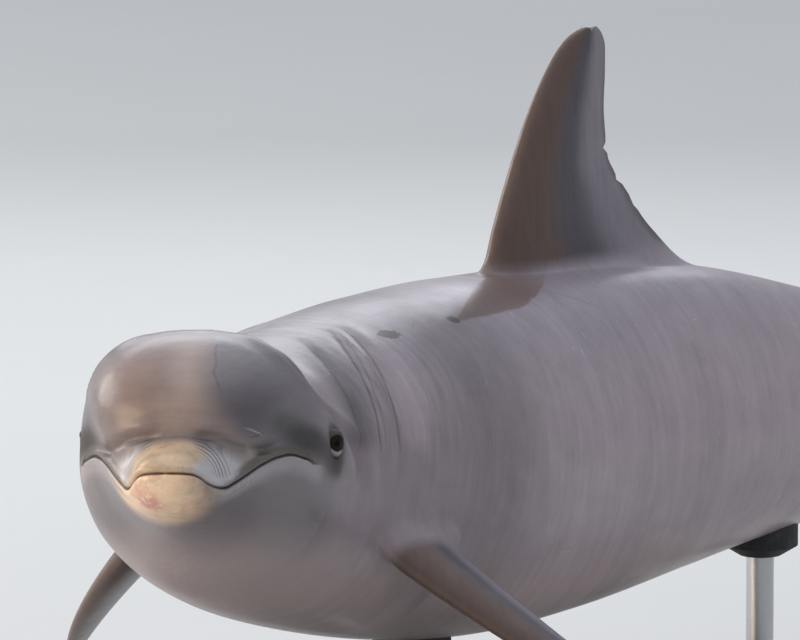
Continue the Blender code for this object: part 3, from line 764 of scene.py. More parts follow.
class Finish:
    """A finish built node by node: a material, or the glow of the studio."""

    def __init__(self, name, owner=None, shader="Principled BSDF"):
        self.material = owner or bpy.data.materials.new(name)
        self.material.use_nodes = True
        self.tree = self.material.node_tree
        self.shader = self.tree.nodes[shader]

    def feed(self, node, inputs):
        for key, value in inputs.items() if isinstance(inputs, dict) else enumerate(inputs):
            socket = node.inputs[key]
            if isinstance(value, Value):
                self.tree.links.new(value.socket, socket)
            elif isinstance(value, tuple) and socket.type == "RGBA":
                socket.default_value = (*value, 1)
            else:
                socket.default_value = value

    def node(self, kind, settings, inputs, out=0):
        made = self.tree.nodes.new(kind)
        for key, setting in settings.items():
            setattr(made, key, setting)
        self.feed(made, inputs)
        return Value(self, made.outputs[out])

    def put(self, **sockets):
        """Sets or links sockets of the shader itself."""
        self.feed(self.shader, {name.replace("_", " "): value for name, value in sockets.items()})

    def mix(self, first, second, share):
        return self.node("ShaderNodeMix", {"data_type": "RGBA"}, {0: share, 6: first, 7: second}, 2)

    def vector(self, operation, inputs, out=0):
        return self.node("ShaderNodeVectorMath", {"operation": operation}, inputs, out)

    def shade(self, colour, factor):
        return self.vector("SCALE", {0: colour, 3: factor})

    def noise(self, where, size, detail, rough):
        return self.node("ShaderNodeTexNoise", {}, {
            "Vector": where, "Scale": 1 / size, "Detail": detail, "Roughness": rough})

    def streaks(self, where, along, size, detail, rough):
        """Noise drawn out along the ways where the factor is below 1."""
        return self.noise(self.vector("MULTIPLY", [where, along]), size, detail, rough)

    def split(self, where):
        """The three numbers of a place."""
        apart = self.node("ShaderNodeSeparateXYZ", {}, [where]).socket.node
        return [Value(self, apart.outputs[k]) for k in range(3)]

    def place(self, out=3):
        """Where the point is on its object; output 0 is the way to the sky."""
        return self.node("ShaderNodeTexCoord", {}, {}, out)

    def held(self, name):
        """A place or a set of measures that the mesh carries."""
        return self.node("ShaderNodeAttribute", {"attribute_name": name}, {}, 1)

    def patch(self, where, centre, reach, edge):
        """1 inside an oval patch, easing to 0 over its edge."""
        scaled = self.vector("DIVIDE", [self.vector("SUBTRACT", [where, centre]), reach])
        return self.vector("LENGTH", [scaled], 1).step(1 + edge, 1 - edge)

    def bump(self, height, distance, strength=1.0, over=None):
        under = {} if over is None else {"Normal": over}
        return self.node("ShaderNodeBump", {}, {
            "Strength": strength, "Distance": distance, "Height": height, **under})


class Coat:
    """A colour laid on in layers, paint over paint."""

    def __init__(self, finish, ground):
        self.finish, self.colour = finish, ground

    def lay(self, paint, share):
        self.colour = self.finish.mix(self.colour, paint, share)

    def shade(self, factor):
        self.colour = self.finish.shade(self.colour, factor)


# Hide: painted skin under a thin wet coat. Its noises run on the straight body, from patches of
# 11 cm down to pores, and its colours run from the dark saddle to the pale beak and belly.
BACK_GREY = (0.185, 0.162, 0.192)
FLANK_MAUVE = (0.298, 0.243, 0.266)
BELLY_PINK = (0.46, 0.37, 0.36)
# Dark for scrapes, and for painted shade and shadows round the eyes and the tick.
SCRAPE_AND_SHADE_DARK = (0.036, 0.032, 0.026)
OLD_SCAR = (0.50, 0.45, 0.43)
# Brown for the fin's painted warm sunlight, the painted fin reflection on the back and a thin brown line.
BROWN_MARK_AND_PAINTED_LIGHT = (0.108, 0.066, 0.052)
hide = Finish("dolphin_hide")
laid = hide.held("laid_out")
sx, sy, sz = hide.split(laid)
over_mouth, over_crease, climbing = hide.split(hide.held("mouth_ways"))
cheek_depth = hide.split(hide.held("cheek_way"))[0]
share, level, _ = hide.split(hide.held("fin_ways"))
side = sy.maths("ABSOLUTE")
patchy = hide.noise(laid, 0.11, 4, 0.55)
blotch = hide.noise(laid, 0.035, 3, 0.5)
mottle = hide.noise(laid, 0.012, 4, 0.6)
fine = hide.noise(laid, 0.0045, 4, 0.6)
drift = (patchy - 0.5) * 0.10 + (blotch - 0.5) * 0.03
ragged = (blotch - 0.5) * 0.02 + (mottle - 0.5) * 0.01

# Trunk: dark saddle above, mauve flanks, pinkish belly. Streaks and old tooth rakes run round it, a brown
# tongue of painted reflection comes down from the fin, and two dark scrapes lie before it.
SCRAPE = ((0.665, -0.097, 0.161), (0.021, 0.012, 0.0062), 0.9)
SMALL_SCRAPE = ((0.811, -0.108, 0.187), (0.011, 0.010, 0.006), 0.30)
body = Coat(hide, FLANK_MAUVE)
body.lay(BACK_GREY, (sz + drift).step(0.06, 0.20) * 0.7)
body.lay(BELLY_PINK, (sz + drift + sx * 0.02).step(-0.07, -0.17) * sx.step(2.5, 2.0))
streak = hide.streaks(laid, (1.0, 0.10, 0.10), 0.012, 3, 0.6)
broad = hide.streaks(laid, (1.0, 0.16, 0.16), 0.07, 3, 0.5)
on_trunk = sx.step(0.38, 0.60) * sx.step(2.3, 1.9) * level.step(0.10, -0.05)
streaks = (streak - 0.5) * on_trunk
broad = 0.5 + (broad - 0.5) * patchy.step(0.36, 0.62)
body.shade(1.0 + streaks * 0.34 + (broad - 0.5) * on_trunk * 0.5 + (blotch - 0.5) * 0.22
           + (fine - 0.5) * 0.10)
rake_field = hide.streaks(laid, (1.0, 0.07, 0.07), 0.030, 1, 0.4)
rakes = rake_field.near(0.50, 0.006) * patchy.step(0.50, 0.62) * on_trunk
scratch_field = hide.streaks(laid, (0.25, 0.6, 1.0), 0.040, 2, 0.5)
rakes = rakes + scratch_field.near(0.46, 0.004) * patchy.step(0.46, 0.36) * on_trunk * 0.8
body.lay(OLD_SCAR, rakes.at_most(1.0) * 0.34)
# The brown tongue below the fin is a painted reflection of the fin on the wet back.
over_front = (sx - 1.013) * 0.384 + side - 0.032 + ragged * 0.25
over_low = 0.113 - side - (sx - 0.94).at_least(0.0) ** 2.0 * 1.4 + ragged * 0.5
painted_fin_reflection = over_front.at_least((sx - 1.04) * 0.2).step(-0.002, 0.003) * over_low.step(-0.001, 0.004)
painted_fin_reflection = painted_fin_reflection * sz.step(0.14, 0.17) * (sx + drift).step(1.22, 1.04)
body.lay(BROWN_MARK_AND_PAINTED_LIGHT, painted_fin_reflection * 0.85)
crack = (side - (sx - 1.08) * 0.5 - 0.072 + ragged * 0.3).near(0.0, 0.0022) * sx.near(1.14, 0.07)
body.lay(BROWN_MARK_AND_PAINTED_LIGHT, crack * sz.step(0.14, 0.17) * 0.6)
torn_edge = hide.patch(laid, *SCRAPE) + (mottle - 0.5) * 1.2 + (fine - 0.5) * 0.6
body.lay(SCRAPE_AND_SHADE_DARK, (torn_edge.step(0.36, 0.58) + hide.patch(laid, *SMALL_SCRAPE)) * 0.95)

# Neck: crisp lines of painted shade in the folds, a band of painted shade before them and a painted
# highlight on the shoulder behind. The lines wander a little beside the folds that the sheet is pressed
# into.
fold_a, fold_b, fold_c = hide.split(hide.held("neck_ways"))
on_neck = (climbing.step(0.02, 0.12) * climbing.step(0.78, 0.62)
           * sx.step(0.38, 0.42) * sx.step(0.80, 0.70))
wander = (patchy - 0.5) * 0.012 + (mottle - 0.5) * 0.0025
# The fold lines are painted shade in the creases.
crisp = (fold_a + wander).near(0.0, 0.0034) + (fold_b + wander).near(0.0, 0.0032) * 0.8
crisp = crisp + (fold_a - 0.011 + wander * 1.3).near(0.0, 0.0018) * 0.5
crisp = crisp + (fold_b + 0.012 - wander).near(0.0, 0.0018) * 0.4
crisp = ((crisp + (fold_c + wander).near(0.0, 0.0050) * 0.35) * on_neck).at_most(1.0)
neck_painted_shade = (fold_c - 0.006 + drift * 0.2).near(0.0, 0.060) * on_neck
# Painted highlight: the shoulder is painted paler, a sky sheen on the wet skin.
shoulder = (fold_b - 0.050 + drift * 0.25).near(0.0, 0.050) * on_neck
neck_streaks = (streak - 0.5) * sx.near(0.58, 0.20) * climbing.step(0.0, 0.1)
body.shade(1 - crisp * 0.38 - neck_painted_shade * 0.55 + shoulder * 0.38 + neck_streaks * 0.7)
# Painted light on the flank: a band of painted shade round x 0.77, and the flank painted lighter towards
# the fin where it faces the sky.
body.shade(0.90 + (sx + drift).step(0.80, 1.00) * 0.36 - (sx + drift).near(0.77, 0.11) * 0.14)

# Melon: grey dome with a warm brown face, a paler band beside its middle that is partly its own colour and
# partly a painted highlight on the ridge, and a thin dark seam. The band and the seam are laid along one
# line that bows over the forehead.
MELON_GREY = (0.150, 0.130, 0.145)
FACE_PAINTED_WARM_LIGHT = (0.285, 0.220, 0.200)
MELON_WARM = (0.240, 0.158, 0.128)
MELON_BAND = (0.400, 0.300, 0.255)
WARM_FACE = ((0.085, 0.046, 0.052), (0.090, 0.042, 0.058), 0.75)
PALE_ROOT = ((0.076, -0.004, 0.012), (0.034, 0.030, 0.026), 0.8)
on_head = sx.step(0.40, 0.24)
body.lay(MELON_GREY, on_head * 0.9)
# Painted shade: the top of the head is painted darker, taking down its overhead highlight.
body.shade(1 - on_head * (sz + drift * 0.3).step(0.105, 0.150) * 0.22)
face = hide.patch(laid, *WARM_FACE)
# Painted warm light: the front of the face is painted lighter and warmer on its lit side.
body.lay(FACE_PAINTED_WARM_LIGHT, (sx + drift * 0.5).step(0.24, 0.08) * (sy + drift * 0.3).step(-0.09, 0.0) * 0.75)
body.lay(MELON_WARM, face * 0.85)
beside = sy - sz * 0.33 + (sz - 0.055) ** 2.0 * 5.0 + 0.034 + (blotch - 0.5) * 0.016
# The pale band is partly the melon's own colour and partly a painted highlight along its ridge.
body.lay(MELON_BAND, beside.near(0.0, 0.040) * (sx + drift * 0.3).step(0.20, 0.12) * 0.75)
body.lay(MELON_BAND, hide.patch(laid, *PALE_ROOT) * 0.7)
seam = (beside + 0.031 + ragged * 0.12).near(0.0, 0.0030)
seam = seam * (sx + ragged).step(0.165, 0.145) * sz.step(0.030, 0.050)
body.shade(1 - seam * 0.30)

# Cheeks: a patch of painted shade from the melon to the eye, where the head's side faces away from the sky,
# with level streaks, a darker patch before each eye and one more on the left, and a small pale tick with
# its shadow.
CHEEK_PAINTED_SHADE = (0.078, 0.070, 0.080)
SMUDGE_REACH = (0.060, 0.034, 0.017)
TICK_PLACE = (0.121, -0.090, -0.006)
level_streak = hide.streaks(laid, (0.12, 0.12, 1.0), 0.009, 3, 0.55)
# The cheek patch is painted shade where the side of the head turns away from the sky.
cheek = (cheek_depth + drift * 0.25).step(-0.030, 0.045) * (sx + drift * 0.2).step(0.37, 0.24)
body.lay(CHEEK_PAINTED_SHADE, cheek * (0.48 + level_streak * 0.25))
body.shade(1 + (level_streak - 0.5) * on_head * 0.34)
fore_eye = hide.patch(laid, (0.265, -0.142, -0.010), SMUDGE_REACH, 0.7)
fore_eye = fore_eye + hide.patch(laid, (0.265, 0.142, -0.010), SMUDGE_REACH, 0.7)
fore_eye = fore_eye + hide.patch(laid, (0.190, -0.120, 0.004), (0.050, 0.030, 0.016), 0.8) * 0.45
body.lay(SCRAPE_AND_SHADE_DARK, fore_eye.at_most(1.0) * (0.55 + level_streak * 0.4))
near_tick = hide.patch(laid, TICK_PLACE, (0.018, 0.016, 0.012), 0.5)
tick = (sz + 0.008 + (sx - TICK_PLACE[0]) * 0.22 + ragged * 0.3).near(0.0, 0.0016)
body.lay(OLD_SCAR, tick * near_tick * 0.55)
tick_shadow = (sz + 0.012 - (sx - TICK_PLACE[0]) * 0.30 + ragged * 0.4).near(0.0, 0.0022)
body.lay(SCRAPE_AND_SHADE_DARK, tick_shadow * near_tick * 0.6)

# Beak: cream top, partly its own colour and partly painted warm sunlight, that greys down the side among
# wrinkles darkened with painted shade, with brown specks, a brown lip edge and, further back, the painted
# shadow of the upper lip along the mouth. Only what lies between the mouth line and the lip crease takes
# these paints.
BEAK_CREAM = (0.62, 0.45, 0.31)
BEAK_GREY = (0.50, 0.475, 0.485)
SHELF_BROWN = (0.215, 0.170, 0.160)
BEAK_OCHRE = (0.66, 0.44, 0.19)
SPECK_BROWN = (0.28, 0.16, 0.08)
WRINKLE_SHADE = (0.075, 0.072, 0.092)
LIP_EDGE_AND_SHADOW = (0.090, 0.070, 0.052)
WRINKLES_PER_METRE, CRIMPS_PER_METRE = 900.0, 1300.0
upper_lip = over_crease.step(0.003, -0.003) * over_mouth.step(-0.001, 0.001) * sx.step(0.30, 0.24)
# The cream is partly the beak's own pale colour and partly painted warm sunlight on its top and lit side.
creamy = (upper_lip * (sy + sz * 0.5 + ragged).step(-0.072, -0.048)
          * (sx + ragged * 0.8).step(0.080, 0.054))
shelf = hide.mix(BEAK_GREY, SHELF_BROWN, over_crease.step(-0.028, -0.006))
body.lay(shelf, upper_lip * sx.step(0.14, 0.10))
speck = hide.node("ShaderNodeTexVoronoi", {}, {"Vector": laid, "Scale": 210.0}).step(0.34, 0.10)
specks = speck * mottle.step(0.44, 0.60)
body.lay(BEAK_CREAM, creamy)
body.lay(BEAK_OCHRE, creamy * mottle.step(0.47, 0.62) * 0.45)
body.lay(SPECK_BROWN, creamy * (specks * 0.6 + blotch.step(0.48, 0.66) * 0.40))
# The dark wrinkles are painted shade in the grooves of the bump.
wrinkle = ((sx + ragged * 0.25 - side * 0.18) * WRINKLES_PER_METRE).maths("SINE").step(0.25, 0.95)
wrinkles = (wrinkle * sx.near(0.072, 0.032) * upper_lip * side.step(0.022, 0.036)
            * over_mouth.step(0.006, 0.018))
body.lay(WRINKLE_SHADE, wrinkles * (0.4 + mottle * 0.6))
lip_edge = over_mouth.step(0.012, 0.0025) * (upper_lip * (sx + ragged).step(0.060, 0.085))
# Further back the dark stroke is the painted shadow of the upper lip.
lip_shadow = (over_mouth - 0.010).step(0.009, 0.001) * upper_lip * (sx + ragged).step(0.085, 0.12)
body.lay(LIP_EDGE_AND_SHADOW, (lip_edge + lip_shadow).at_most(1.0) * 0.85)

# Lower jaw: cream and pink chin with a small scar, painted shade on its far side and a painted highlight on
# its lit side, a pale crimped lip with painted shade in its crimps and lilac-grey sides. It is painted as a
# coat of its own and laid on below the mouth line, then painted shade darkens the gap.
LOWER_LIP = (0.330, 0.300, 0.310)
JAW_LILAC = (0.190, 0.165, 0.175)
CHIN_PAINTED_SHADE = (0.30, 0.215, 0.175)
CHIN_CREAM = (0.90, 0.64, 0.42)
CHIN_RED = (0.55, 0.30, 0.22)
CHIN_PAINTED_HIGHLIGHT = (0.95, 0.80, 0.60)
CHIN_PINK = (0.64, 0.28, 0.22)
CHIN_SCAR = ((0.036, 0.026, -0.098), (0.026, 0.018, 0.016), 0.6)
CRIMP_PALE = (0.56, 0.52, 0.52)
CRIMP_SHADE = (0.10, 0.09, 0.095)
GAP_SHADE = (0.045, 0.030, 0.020)
jaw = Coat(hide, JAW_LILAC)
jaw.lay(BELLY_PINK, sz.step(-0.10, -0.17) * 0.8)
jaw.lay(LOWER_LIP, (over_mouth + ragged * 0.3).step(-0.030, -0.010) * sx.step(0.31, 0.27) * 0.9)
# The chin is painted shade on its far side, cream on its lit side that is partly its own colour and partly
# painted warm sunlight, and a painted warm highlight.
chin = (sx - sy * 0.45 + (sz + 0.075) * 0.30 + ragged * 1.6).step(0.125, 0.045)
jaw.lay(CHIN_PAINTED_SHADE, chin)
jaw.lay(CHIN_CREAM, chin * (sy + ragged * 2.5).step(-0.062, -0.010))
jaw.lay(CHIN_RED, chin * (specks * 0.35 + blotch.step(0.48, 0.66) * 0.42))
jaw.lay(CHIN_PAINTED_HIGHLIGHT, chin * mottle.step(0.52, 0.66) * (sy + 0.010).step(-0.03, 0.01) * 0.5)
jaw.lay(CHIN_PINK, hide.patch(laid, *CHIN_SCAR) * mottle.step(0.38, 0.54) * 0.9)
crimp = ((sx + ragged * 0.5) * CRIMPS_PER_METRE).maths("SINE").step(-0.2, 0.9)
crimp_place = over_mouth.near(-0.009, 0.010) * sx.near(0.115, 0.065) * (0.5 + mottle)
crimps = crimp * crimp_place
jaw.lay(CRIMP_PALE, crimp_place * 0.7)
# Painted shade in the grooves of the crimps.
jaw.lay(CRIMP_SHADE, crimps * 0.75)
body.lay(jaw.colour, over_mouth.step(0.001, -0.001) * sx.step(0.44, 0.30))
# Painted shade in the gap of the closed mouth.
body.lay(GAP_SHADE, over_mouth.near(-0.0004, 0.0024) * sx.step(0.268, 0.255) * 0.85)

# Eye surrounds: a ring of painted shade in the fold, a painted shadow below it and a pale lower lid. What
# is dulled here also loses most of its wet coat.
LID_PALE = (0.40, 0.36, 0.36)
LID_REACH = (0.014, 0.014, 0.0055)
UNDER_EYE_REACH = (0.046, 0.090, 0.018)
SOCKET_REACH = (0.034, 0.09, 0.028)
dulled = fore_eye * 0.8 + cheek * 0.4
for out in (-1, 1):
    eye_x, eye_z = EYE_PLACE[0], EYE_PLACE[2]
    low_lid = hide.patch(laid, (eye_x - 0.010, out * 0.166, eye_z - 0.0125), LID_REACH, 0.4)
    # A painted shadow under each eye and a ring of painted shade in the fold round it.
    under_eye_shadow = hide.patch(laid, (eye_x - 0.016, out * 0.160, eye_z - 0.027), UNDER_EYE_REACH, 0.8)
    body.lay(SCRAPE_AND_SHADE_DARK, under_eye_shadow * 0.7)
    socket = hide.patch(laid, (eye_x + 0.001, out * 0.165, eye_z - 0.004), SOCKET_REACH, 0.5)
    body.lay(SCRAPE_AND_SHADE_DARK, socket * 0.85)
    body.lay(LID_PALE, low_lid * 0.8)
    dulled = dulled + under_eye_shadow + socket - low_lid

# Fins: a brown leading third that is painted warm sunlight, dark mauve middle, greyer trailing part with
# fine streaks.
# Fin, flippers and flukes share this coat, laid on from their roots outwards.
FIN_MAUVE = (0.068, 0.058, 0.072)
FIN_PALE = (0.215, 0.190, 0.222)
blade = Coat(hide, BROWN_MARK_AND_PAINTED_LIGHT)
blade.lay(FIN_MAUVE, (share + drift * 0.8).step(0.26, 0.50))
blade.lay(FIN_PALE, (share + drift * 0.8).step(0.52, 0.80))
blade.lay(FIN_MAUVE, share.step(0.93, 1.0) * 0.7)
fin_streak = hide.streaks(laid, (1.0, 1.0, 0.10), 0.010, 3, 0.6)
blade.shade(1 + (fin_streak - 0.5) * 0.45 + (fine - 0.5) * 0.12)
body.lay(blade.colour, level.step(-0.02, 0.06))

# Wet hide: a rough body under a thin coat of water, with pores, streaks, wrinkles and crimps
# raised in it. The skin stands for every flesh part of the frame but the eyes.
wet = 1 - dulled.step(0.0, 1.0) * 0.92
hide.put(Base_Color=body.colour, Roughness=mottle * 0.16 + 0.58 - wet * 0.18,
         Coat_Weight=(blotch * 0.5 + 0.22) * wet, Coat_Roughness=0.25, IOR=1.40)
relief = None
for height, distance, strength in (
        (fine, 0.0005, 0.6),
        (streaks * 0.5 + (broad - 0.5) * on_trunk + 0.5, 0.0014, 0.7),
        (mottle * 0.6 + blotch * 1.4, 0.0016, 0.6),
        (1 - wrinkles - crisp, 0.0014, 1.0),
        (1 - crimps - rakes * 0.5, 0.0012, 1.0)):
    relief = hide.bump(height, distance, strength, relief)
hide.put(Normal=relief)
skin_mesh.materials.append(hide.material)
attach(skin, "root")
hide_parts("head", "lower_jaw", "neck", "trunk_front", "trunk_rear", "tail_stock",
            "dorsal_fin", "flipper_left", "flipper_right", "fluke_left", "fluke_right")

# Eyes: dark wet glass balls with a brown iris, a level slot of a pupil and a reddish white.
# Each is set in its lids, turned so that the slot lies level in the gaze.
IRIS_DARK, IRIS_BROWN = (0.010, 0.006, 0.005), (0.034, 0.019, 0.011)
WHITE_DARK, WHITE_RED = (0.055, 0.034, 0.030), (0.095, 0.060, 0.052)
IRIS_RING, PUPIL_BLACK = (0.004, 0.003, 0.003), (0.002, 0.002, 0.003)
IRIS_EDGE = 0.62
PUPIL_WIDE, PUPIL_TALL, PUPIL_DROP = 0.36, 0.17, 0.03
for side, name in ((-1, "left"), (1, "right")):
    centre, gaze, level, upward = eye_seats[side]
    ball = bmesh.new()
    bmesh.ops.create_uvsphere(ball, u_segments=64, v_segments=40, radius=EYE_RADIUS)
    turn = Matrix((level, upward, gaze)).transposed().to_4x4()
    facing = np.array([list(vertex.co / EYE_RADIUS) for vertex in ball.verts])
    made = posed(np.array([list(turn @ vertex.co) for vertex in ball.verts]) + centre)
    for vertex, place in zip(ball.verts, made):
        vertex.co = place
    bmesh.ops.recalc_face_normals(ball, faces=ball.faces)
    eye_mesh = bpy.data.meshes.new("eyeball_" + name)
    ball.to_mesh(eye_mesh)
    ball.free()
    hold(eye_mesh, "facing", facing)
    eye = smooth_piece("eyeball_" + name, eye_mesh)
    look = Finish("eyeball_" + name)
    toward = look.held("facing")
    across, tall, _ = look.split(toward)
    out = (across**2 + tall**2).maths("SQRT")
    ray = look.streaks(toward, (1.0, 1.0, 0.1), 0.16, 4, 0.6)
    iris = look.mix(IRIS_DARK, IRIS_BROWN, ray * out.step(0.20, 0.55))
    white = look.mix(WHITE_DARK, WHITE_RED, ray)
    tint = Coat(look, iris)
    tint.lay(white, out.step(IRIS_EDGE, IRIS_EDGE + 0.10))
    tint.lay(IRIS_RING, out.near(IRIS_EDGE, 0.07) * 0.9)
    slot = (across / PUPIL_WIDE) ** 2 + ((tall + PUPIL_DROP) / PUPIL_TALL) ** 2
    tint.lay(PUPIL_BLACK, slot.step(1.15, 0.85))
    look.put(Base_Color=tint.colour, Roughness=ray * 0.04 + 0.05, IOR=1.36, Specular_IOR_Level=0.18)
    eye_mesh.materials.append(look.material)
    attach(eye, "root")
    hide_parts("eye_" + name)

# Board and pads: a dark painted board, rolled and lightly scuffed, and two pebbled rubber pads
# that the belly rests in, glued on the rods. They keep the shapes of the frame.
BOARD_DARK, BOARD_LIGHT, SCUFF_GREY = (0.042, 0.044, 0.048), (0.056, 0.058, 0.062), (0.10, 0.10, 0.10)
RUBBER_BLACK, RUBBER_DUST = (0.022, 0.022, 0.024), (0.050, 0.049, 0.047)
board = Finish("painted_board")
where = board.place()
grain = board.streaks(where, (0.6, 6.0, 6.0), 0.05, 4, 0.6)
roller = board.noise(where, 0.0022, 3, 0.6)
scuff = board.streaks(where, (1.0, 0.25, 1.0), 0.03, 5, 0.7).step(0.60, 0.74)
tint = Coat(board, board.mix(BOARD_DARK, BOARD_LIGHT, grain))
tint.lay(SCUFF_GREY, scuff * 0.18)
board.put(Base_Color=tint.colour, Roughness=roller * 0.10 + 0.38 + scuff * 0.08,
          Normal=board.bump(roller + grain * 0.5, 0.0003, 0.5))
rubber = Finish("pad_rubber")
where = rubber.place()
pebble = rubber.node("ShaderNodeTexVoronoi", {}, {"Vector": where, "Scale": 480.0})
dusty = rubber.noise(where, 0.018, 4, 0.6)
rubber.put(Base_Color=rubber.mix(RUBBER_BLACK, RUBBER_DUST, dusty.step(0.45, 0.75)),
           Roughness=dusty * 0.15 + 0.62, Normal=rubber.bump(pebble, 0.0004, 0.7))
for node_name, finish in (
        ("stand_base", board), ("stand_pad_front", rubber), ("stand_pad_rear", rubber)):
    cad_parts[node_name].material_slots[0].material = finish.material

# Rods and flanges: brushed steel bar in turned flanges, their rims rounded on a lathe.
# Each is a profile of radius and height turned about the rod's own axis.
STEEL_DARK, STEEL_LIGHT = (0.46, 0.46, 0.47), (0.62, 0.62, 0.63)
RIM_ROUND = {"flange": 0.0035, "rod": 0.0008}
RIM_STEPS = 6
AROUND_ROD = 96
steel = Finish("brushed_steel")
where = steel.place()
brushed = steel.streaks(where, (1.0, 1.0, 30.0), 0.02, 4, 0.65)
cloudy = steel.noise(where, 0.06, 3, 0.5)
steel.put(Base_Color=steel.mix(STEEL_DARK, STEEL_LIGHT, brushed), Metallic=1.0,
          Roughness=brushed * 0.14 + cloudy * 0.08 + 0.20, Normal=steel.bump(brushed, 0.0001, 0.5))
for end in ("front", "rear"):
    for kind, rim in RIM_ROUND.items():
        name = kind + "_" + end
        low, high = (np.array(corner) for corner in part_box("stand_" + name))
        axis, radius = (low + high) / 2, (high[0] - low[0]) / 2
        profile = [(radius, low[2])]
        for step in range(RIM_STEPS + 1):
            turn = math.pi / 2 * step / RIM_STEPS
            profile.append((radius - rim * (1 - math.cos(turn)), high[2] - rim * (1 - math.sin(turn))))
        ring = [math.tau * k / AROUND_ROD for k in range(AROUND_ROD)]
        corners = [(axis[0] + r * math.cos(a), axis[1] + r * math.sin(a), h)
                   for r, h in profile for a in ring]
        sides = []
        for level in range(len(profile) - 1):
            for k in range(AROUND_ROD):
                a, b = level * AROUND_ROD + k, level * AROUND_ROD + (k + 1) % AROUND_ROD
                sides.append((a, b, b + AROUND_ROD, a + AROUND_ROD))
        last = len(corners) - AROUND_ROD
        sides += [tuple(range(AROUND_ROD))[::-1], tuple(range(last, last + AROUND_ROD))]
        turned_mesh = bpy.data.meshes.new("turned_" + name)
        turned_mesh.from_pydata(corners, [], sides)
        turned_piece = smooth_piece("turned_" + name, turned_mesh)
        turned_mesh.set_sharp_from_angle(angle=math.radians(35))
        turned_mesh.materials.append(steel.material)
        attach(turned_piece, "root")
        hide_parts("stand_" + name)

# Flange screws: four steel button heads with a hexagon socket hold each flange to the board.
# They are set out round the rod on a ring, one ring on the top of each flange.
SCREW_SIZES = {"Screws": 4, "Ring radius": 0.0365, "Head radius": 0.0062, "Head height": 0.0034,
               "Socket radius": 0.0030}
HEAD_TAPER = 0.72
tree = bpy.data.node_groups.new("flange_screws", "GeometryNodeTree")
tree.interface.new_socket(name="Flange tops", in_out="INPUT", socket_type="NodeSocketGeometry")
size_sockets = {}
for name, size in SCREW_SIZES.items():
    kind = "NodeSocketInt" if isinstance(size, int) else "NodeSocketFloat"
    size_sockets[name] = tree.interface.new_socket(name=name, in_out="INPUT", socket_type=kind)
tree.interface.new_socket(name="Screw heads", in_out="OUTPUT", socket_type="NodeSocketGeometry")
given = tree.nodes.new("NodeGroupInput").outputs


def made_by(kind, inputs, **settings):
    """What one step of the tree makes from numbers and from other steps."""
    step = tree.nodes.new(kind)
    for key, setting in settings.items():
        setattr(step, key, setting)
    for key, value in inputs.items():
        if isinstance(value, bpy.types.NodeSocket):
            tree.links.new(value, step.inputs[key])
        else:
            step.inputs[key].default_value = value
    return step.outputs[0]


narrower = made_by("ShaderNodeMath", {0: given["Head radius"], 1: HEAD_TAPER}, operation="MULTIPLY")
head = made_by("GeometryNodeMeshCone", {
    "Vertices": 32, "Radius Bottom": given["Head radius"], "Radius Top": narrower,
    "Depth": given["Head height"]})
key_hole = made_by("GeometryNodeMeshCylinder", {
    "Vertices": 6, "Radius": given["Socket radius"], "Depth": given["Head height"]})
raised = made_by("ShaderNodeCombineXYZ", {"Z": given["Head height"]})
lifted = made_by("GeometryNodeTransform", {"Geometry": key_hole, "Translation": raised})
cut = made_by("GeometryNodeMeshBoolean", {"Mesh 1": head, "Mesh 2": lifted}, operation="DIFFERENCE")
ring = made_by("GeometryNodeMeshCircle", {"Vertices": given["Screws"], "Radius": given["Ring radius"]})
turned = made_by("GeometryNodeTransform", {"Geometry": ring, "Rotation": (0, 0, math.pi / 4)})
heads = made_by("GeometryNodeInstanceOnPoints", {"Points": turned, "Instance": cut})
rings_set = made_by("GeometryNodeInstanceOnPoints", {"Points": given["Flange tops"], "Instance": heads})
solid = made_by("GeometryNodeRealizeInstances", {"Geometry": rings_set})
coated = made_by("GeometryNodeSetMaterial", {"Geometry": solid, "Material": steel.material})
tree.links.new(coated, tree.nodes.new("NodeGroupOutput").inputs["Screw heads"])
tops = []
for end in ("front", "rear"):
    low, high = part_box("stand_flange_" + end)
    tops.append(((low[0] + high[0]) / 2, (low[1] + high[1]) / 2,
                 high[2] + SCREW_SIZES["Head height"] / 2))
top_mesh = bpy.data.meshes.new("flange_tops")
top_mesh.from_pydata(tops, [], [])
screws = placed_as("flange_screws", top_mesh)
growing = screws.modifiers.new("screws", "NODES")
growing.node_group = tree
for name, size in SCREW_SIZES.items():
    growing[size_sockets[name].identifier] = size
bpy.context.view_layer.update()
made = bpy.data.meshes.new_from_object(screws.evaluated_get(bpy.context.evaluated_depsgraph_get()))
screws.modifiers.remove(growing)
screws.data = made
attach(screws, "root")

# Floor and light: a pale painted studio floor under a broad soft sky of light, with two panels
# over and behind the model, a low warm lamp and a large one to the left.
FLOOR_HALF = 60
FLOOR_GREY, FLOOR_PALE = (0.64, 0.65, 0.64), (0.68, 0.69, 0.68)
HORIZON_GLOW, ZENITH_GLOW = (0.25, 0.26, 0.27), (0.78, 0.82, 0.90)
COOL_LIGHT, WARM_LIGHT, SOFT_LIGHT = (0.93, 0.95, 1.0), (1.0, 0.80, 0.58), (1.0, 0.94, 0.88)
floor_mesh = bpy.data.meshes.new("floor")
floor_corners = [(FLOOR_HALF * x, FLOOR_HALF * y, 0) for x, y in ((-1, -1), (1, -1), (1, 1), (-1, 1))]
floor_mesh.from_pydata(floor_corners, [], [(0, 1, 2, 3)])
placed_as("floor", floor_mesh)
paint = Finish("floor_paint")
where = paint.place()
paint.put(Base_Color=paint.mix(FLOOR_GREY, FLOOR_PALE, paint.noise(where, 0.9, 4, 0.6)),
          Roughness=paint.noise(where, 0.05, 3, 0.5) * 0.1 + 0.75)
floor_mesh.materials.append(paint.material)

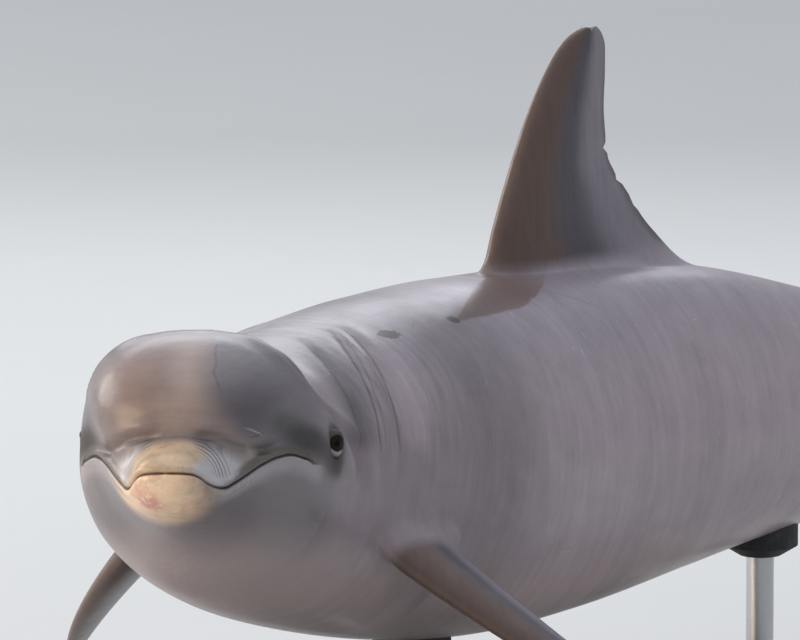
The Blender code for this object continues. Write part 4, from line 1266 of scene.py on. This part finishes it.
bpy.context.scene.view_settings.view_transform = "Standard"
world = bpy.data.worlds.new("studio")
bpy.context.scene.world = world
sky = Finish("studio", world, "Background")
height = sky.split(sky.place(0))[2]
fade = sky.node("ShaderNodeMapRange", {}, {"Value": height, "From Min": -0.1})
sky.put(Color=sky.mix(HORIZON_GLOW, ZENITH_GLOW, fade))


def lamp(name, place, aim, size, power, colour):
    light = bpy.data.lights.new(name, "AREA")
    light.shape = "ELLIPSE"
    light.size, light.size_y = size
    light.energy = power
    light.color = colour
    made = placed_as(name, light)
    made.location = place
    made.rotation_euler = (Vector(aim) - Vector(place)).to_track_quat("-Z", "Y").to_euler()


lamp("overhead_panel", (0.4, 0.6, 3.4), (0.1, 0, 0.5), (4.6, 3.4), 22, COOL_LIGHT)
lamp("rear_panel", (3.2, 3.6, 2.9), (0.1, 0, 0.6), (4.5, 1.8), 50, COOL_LIGHT)
lamp("warm_lamp", (-7.6, 3.0, 1.7), (-0.6, 0, 0.40), (6.6, 3.0), 280, WARM_LIGHT)
lamp("left_panel", (-2.2, 8.4, 3.0), (-0.5, 0, 0.45), (8.0, 4.4), 300, SOFT_LIGHT)

# Camera: a long lens, far off and a little above the back, looking at the head and the fin from
# the left of the snout. Its aim is set off from the middle of the spine.
CAMERA_BEARING = math.radians(-47.3)
CAMERA_RISE = math.radians(10.0)
CAMERA_DISTANCE = 12.0
LENS = 401.22
AIM_RIGHT, AIM_UP = -0.2517, 0.1464
spine_point = Vector(SPINE_PLACE)
back_way = Vector((math.sin(CAMERA_BEARING) * math.cos(CAMERA_RISE),
                   -math.cos(CAMERA_BEARING) * math.cos(CAMERA_RISE), math.sin(CAMERA_RISE)))
right_way = Vector((math.cos(CAMERA_BEARING), math.sin(CAMERA_BEARING), 0))
up_way = back_way.cross(right_way)
aim = spine_point + right_way * AIM_RIGHT + up_way * AIM_UP
camera_data = bpy.data.cameras.new("camera")
camera = placed_as("camera", camera_data)
camera.location = spine_point + back_way * CAMERA_DISTANCE
camera.rotation_euler = (aim - camera.location).to_track_quat("-Z", "Y").to_euler()
camera_data.sensor_width = 36
camera_data.lens = LENS
camera_data.clip_end = 200
bpy.context.scene.camera = camera
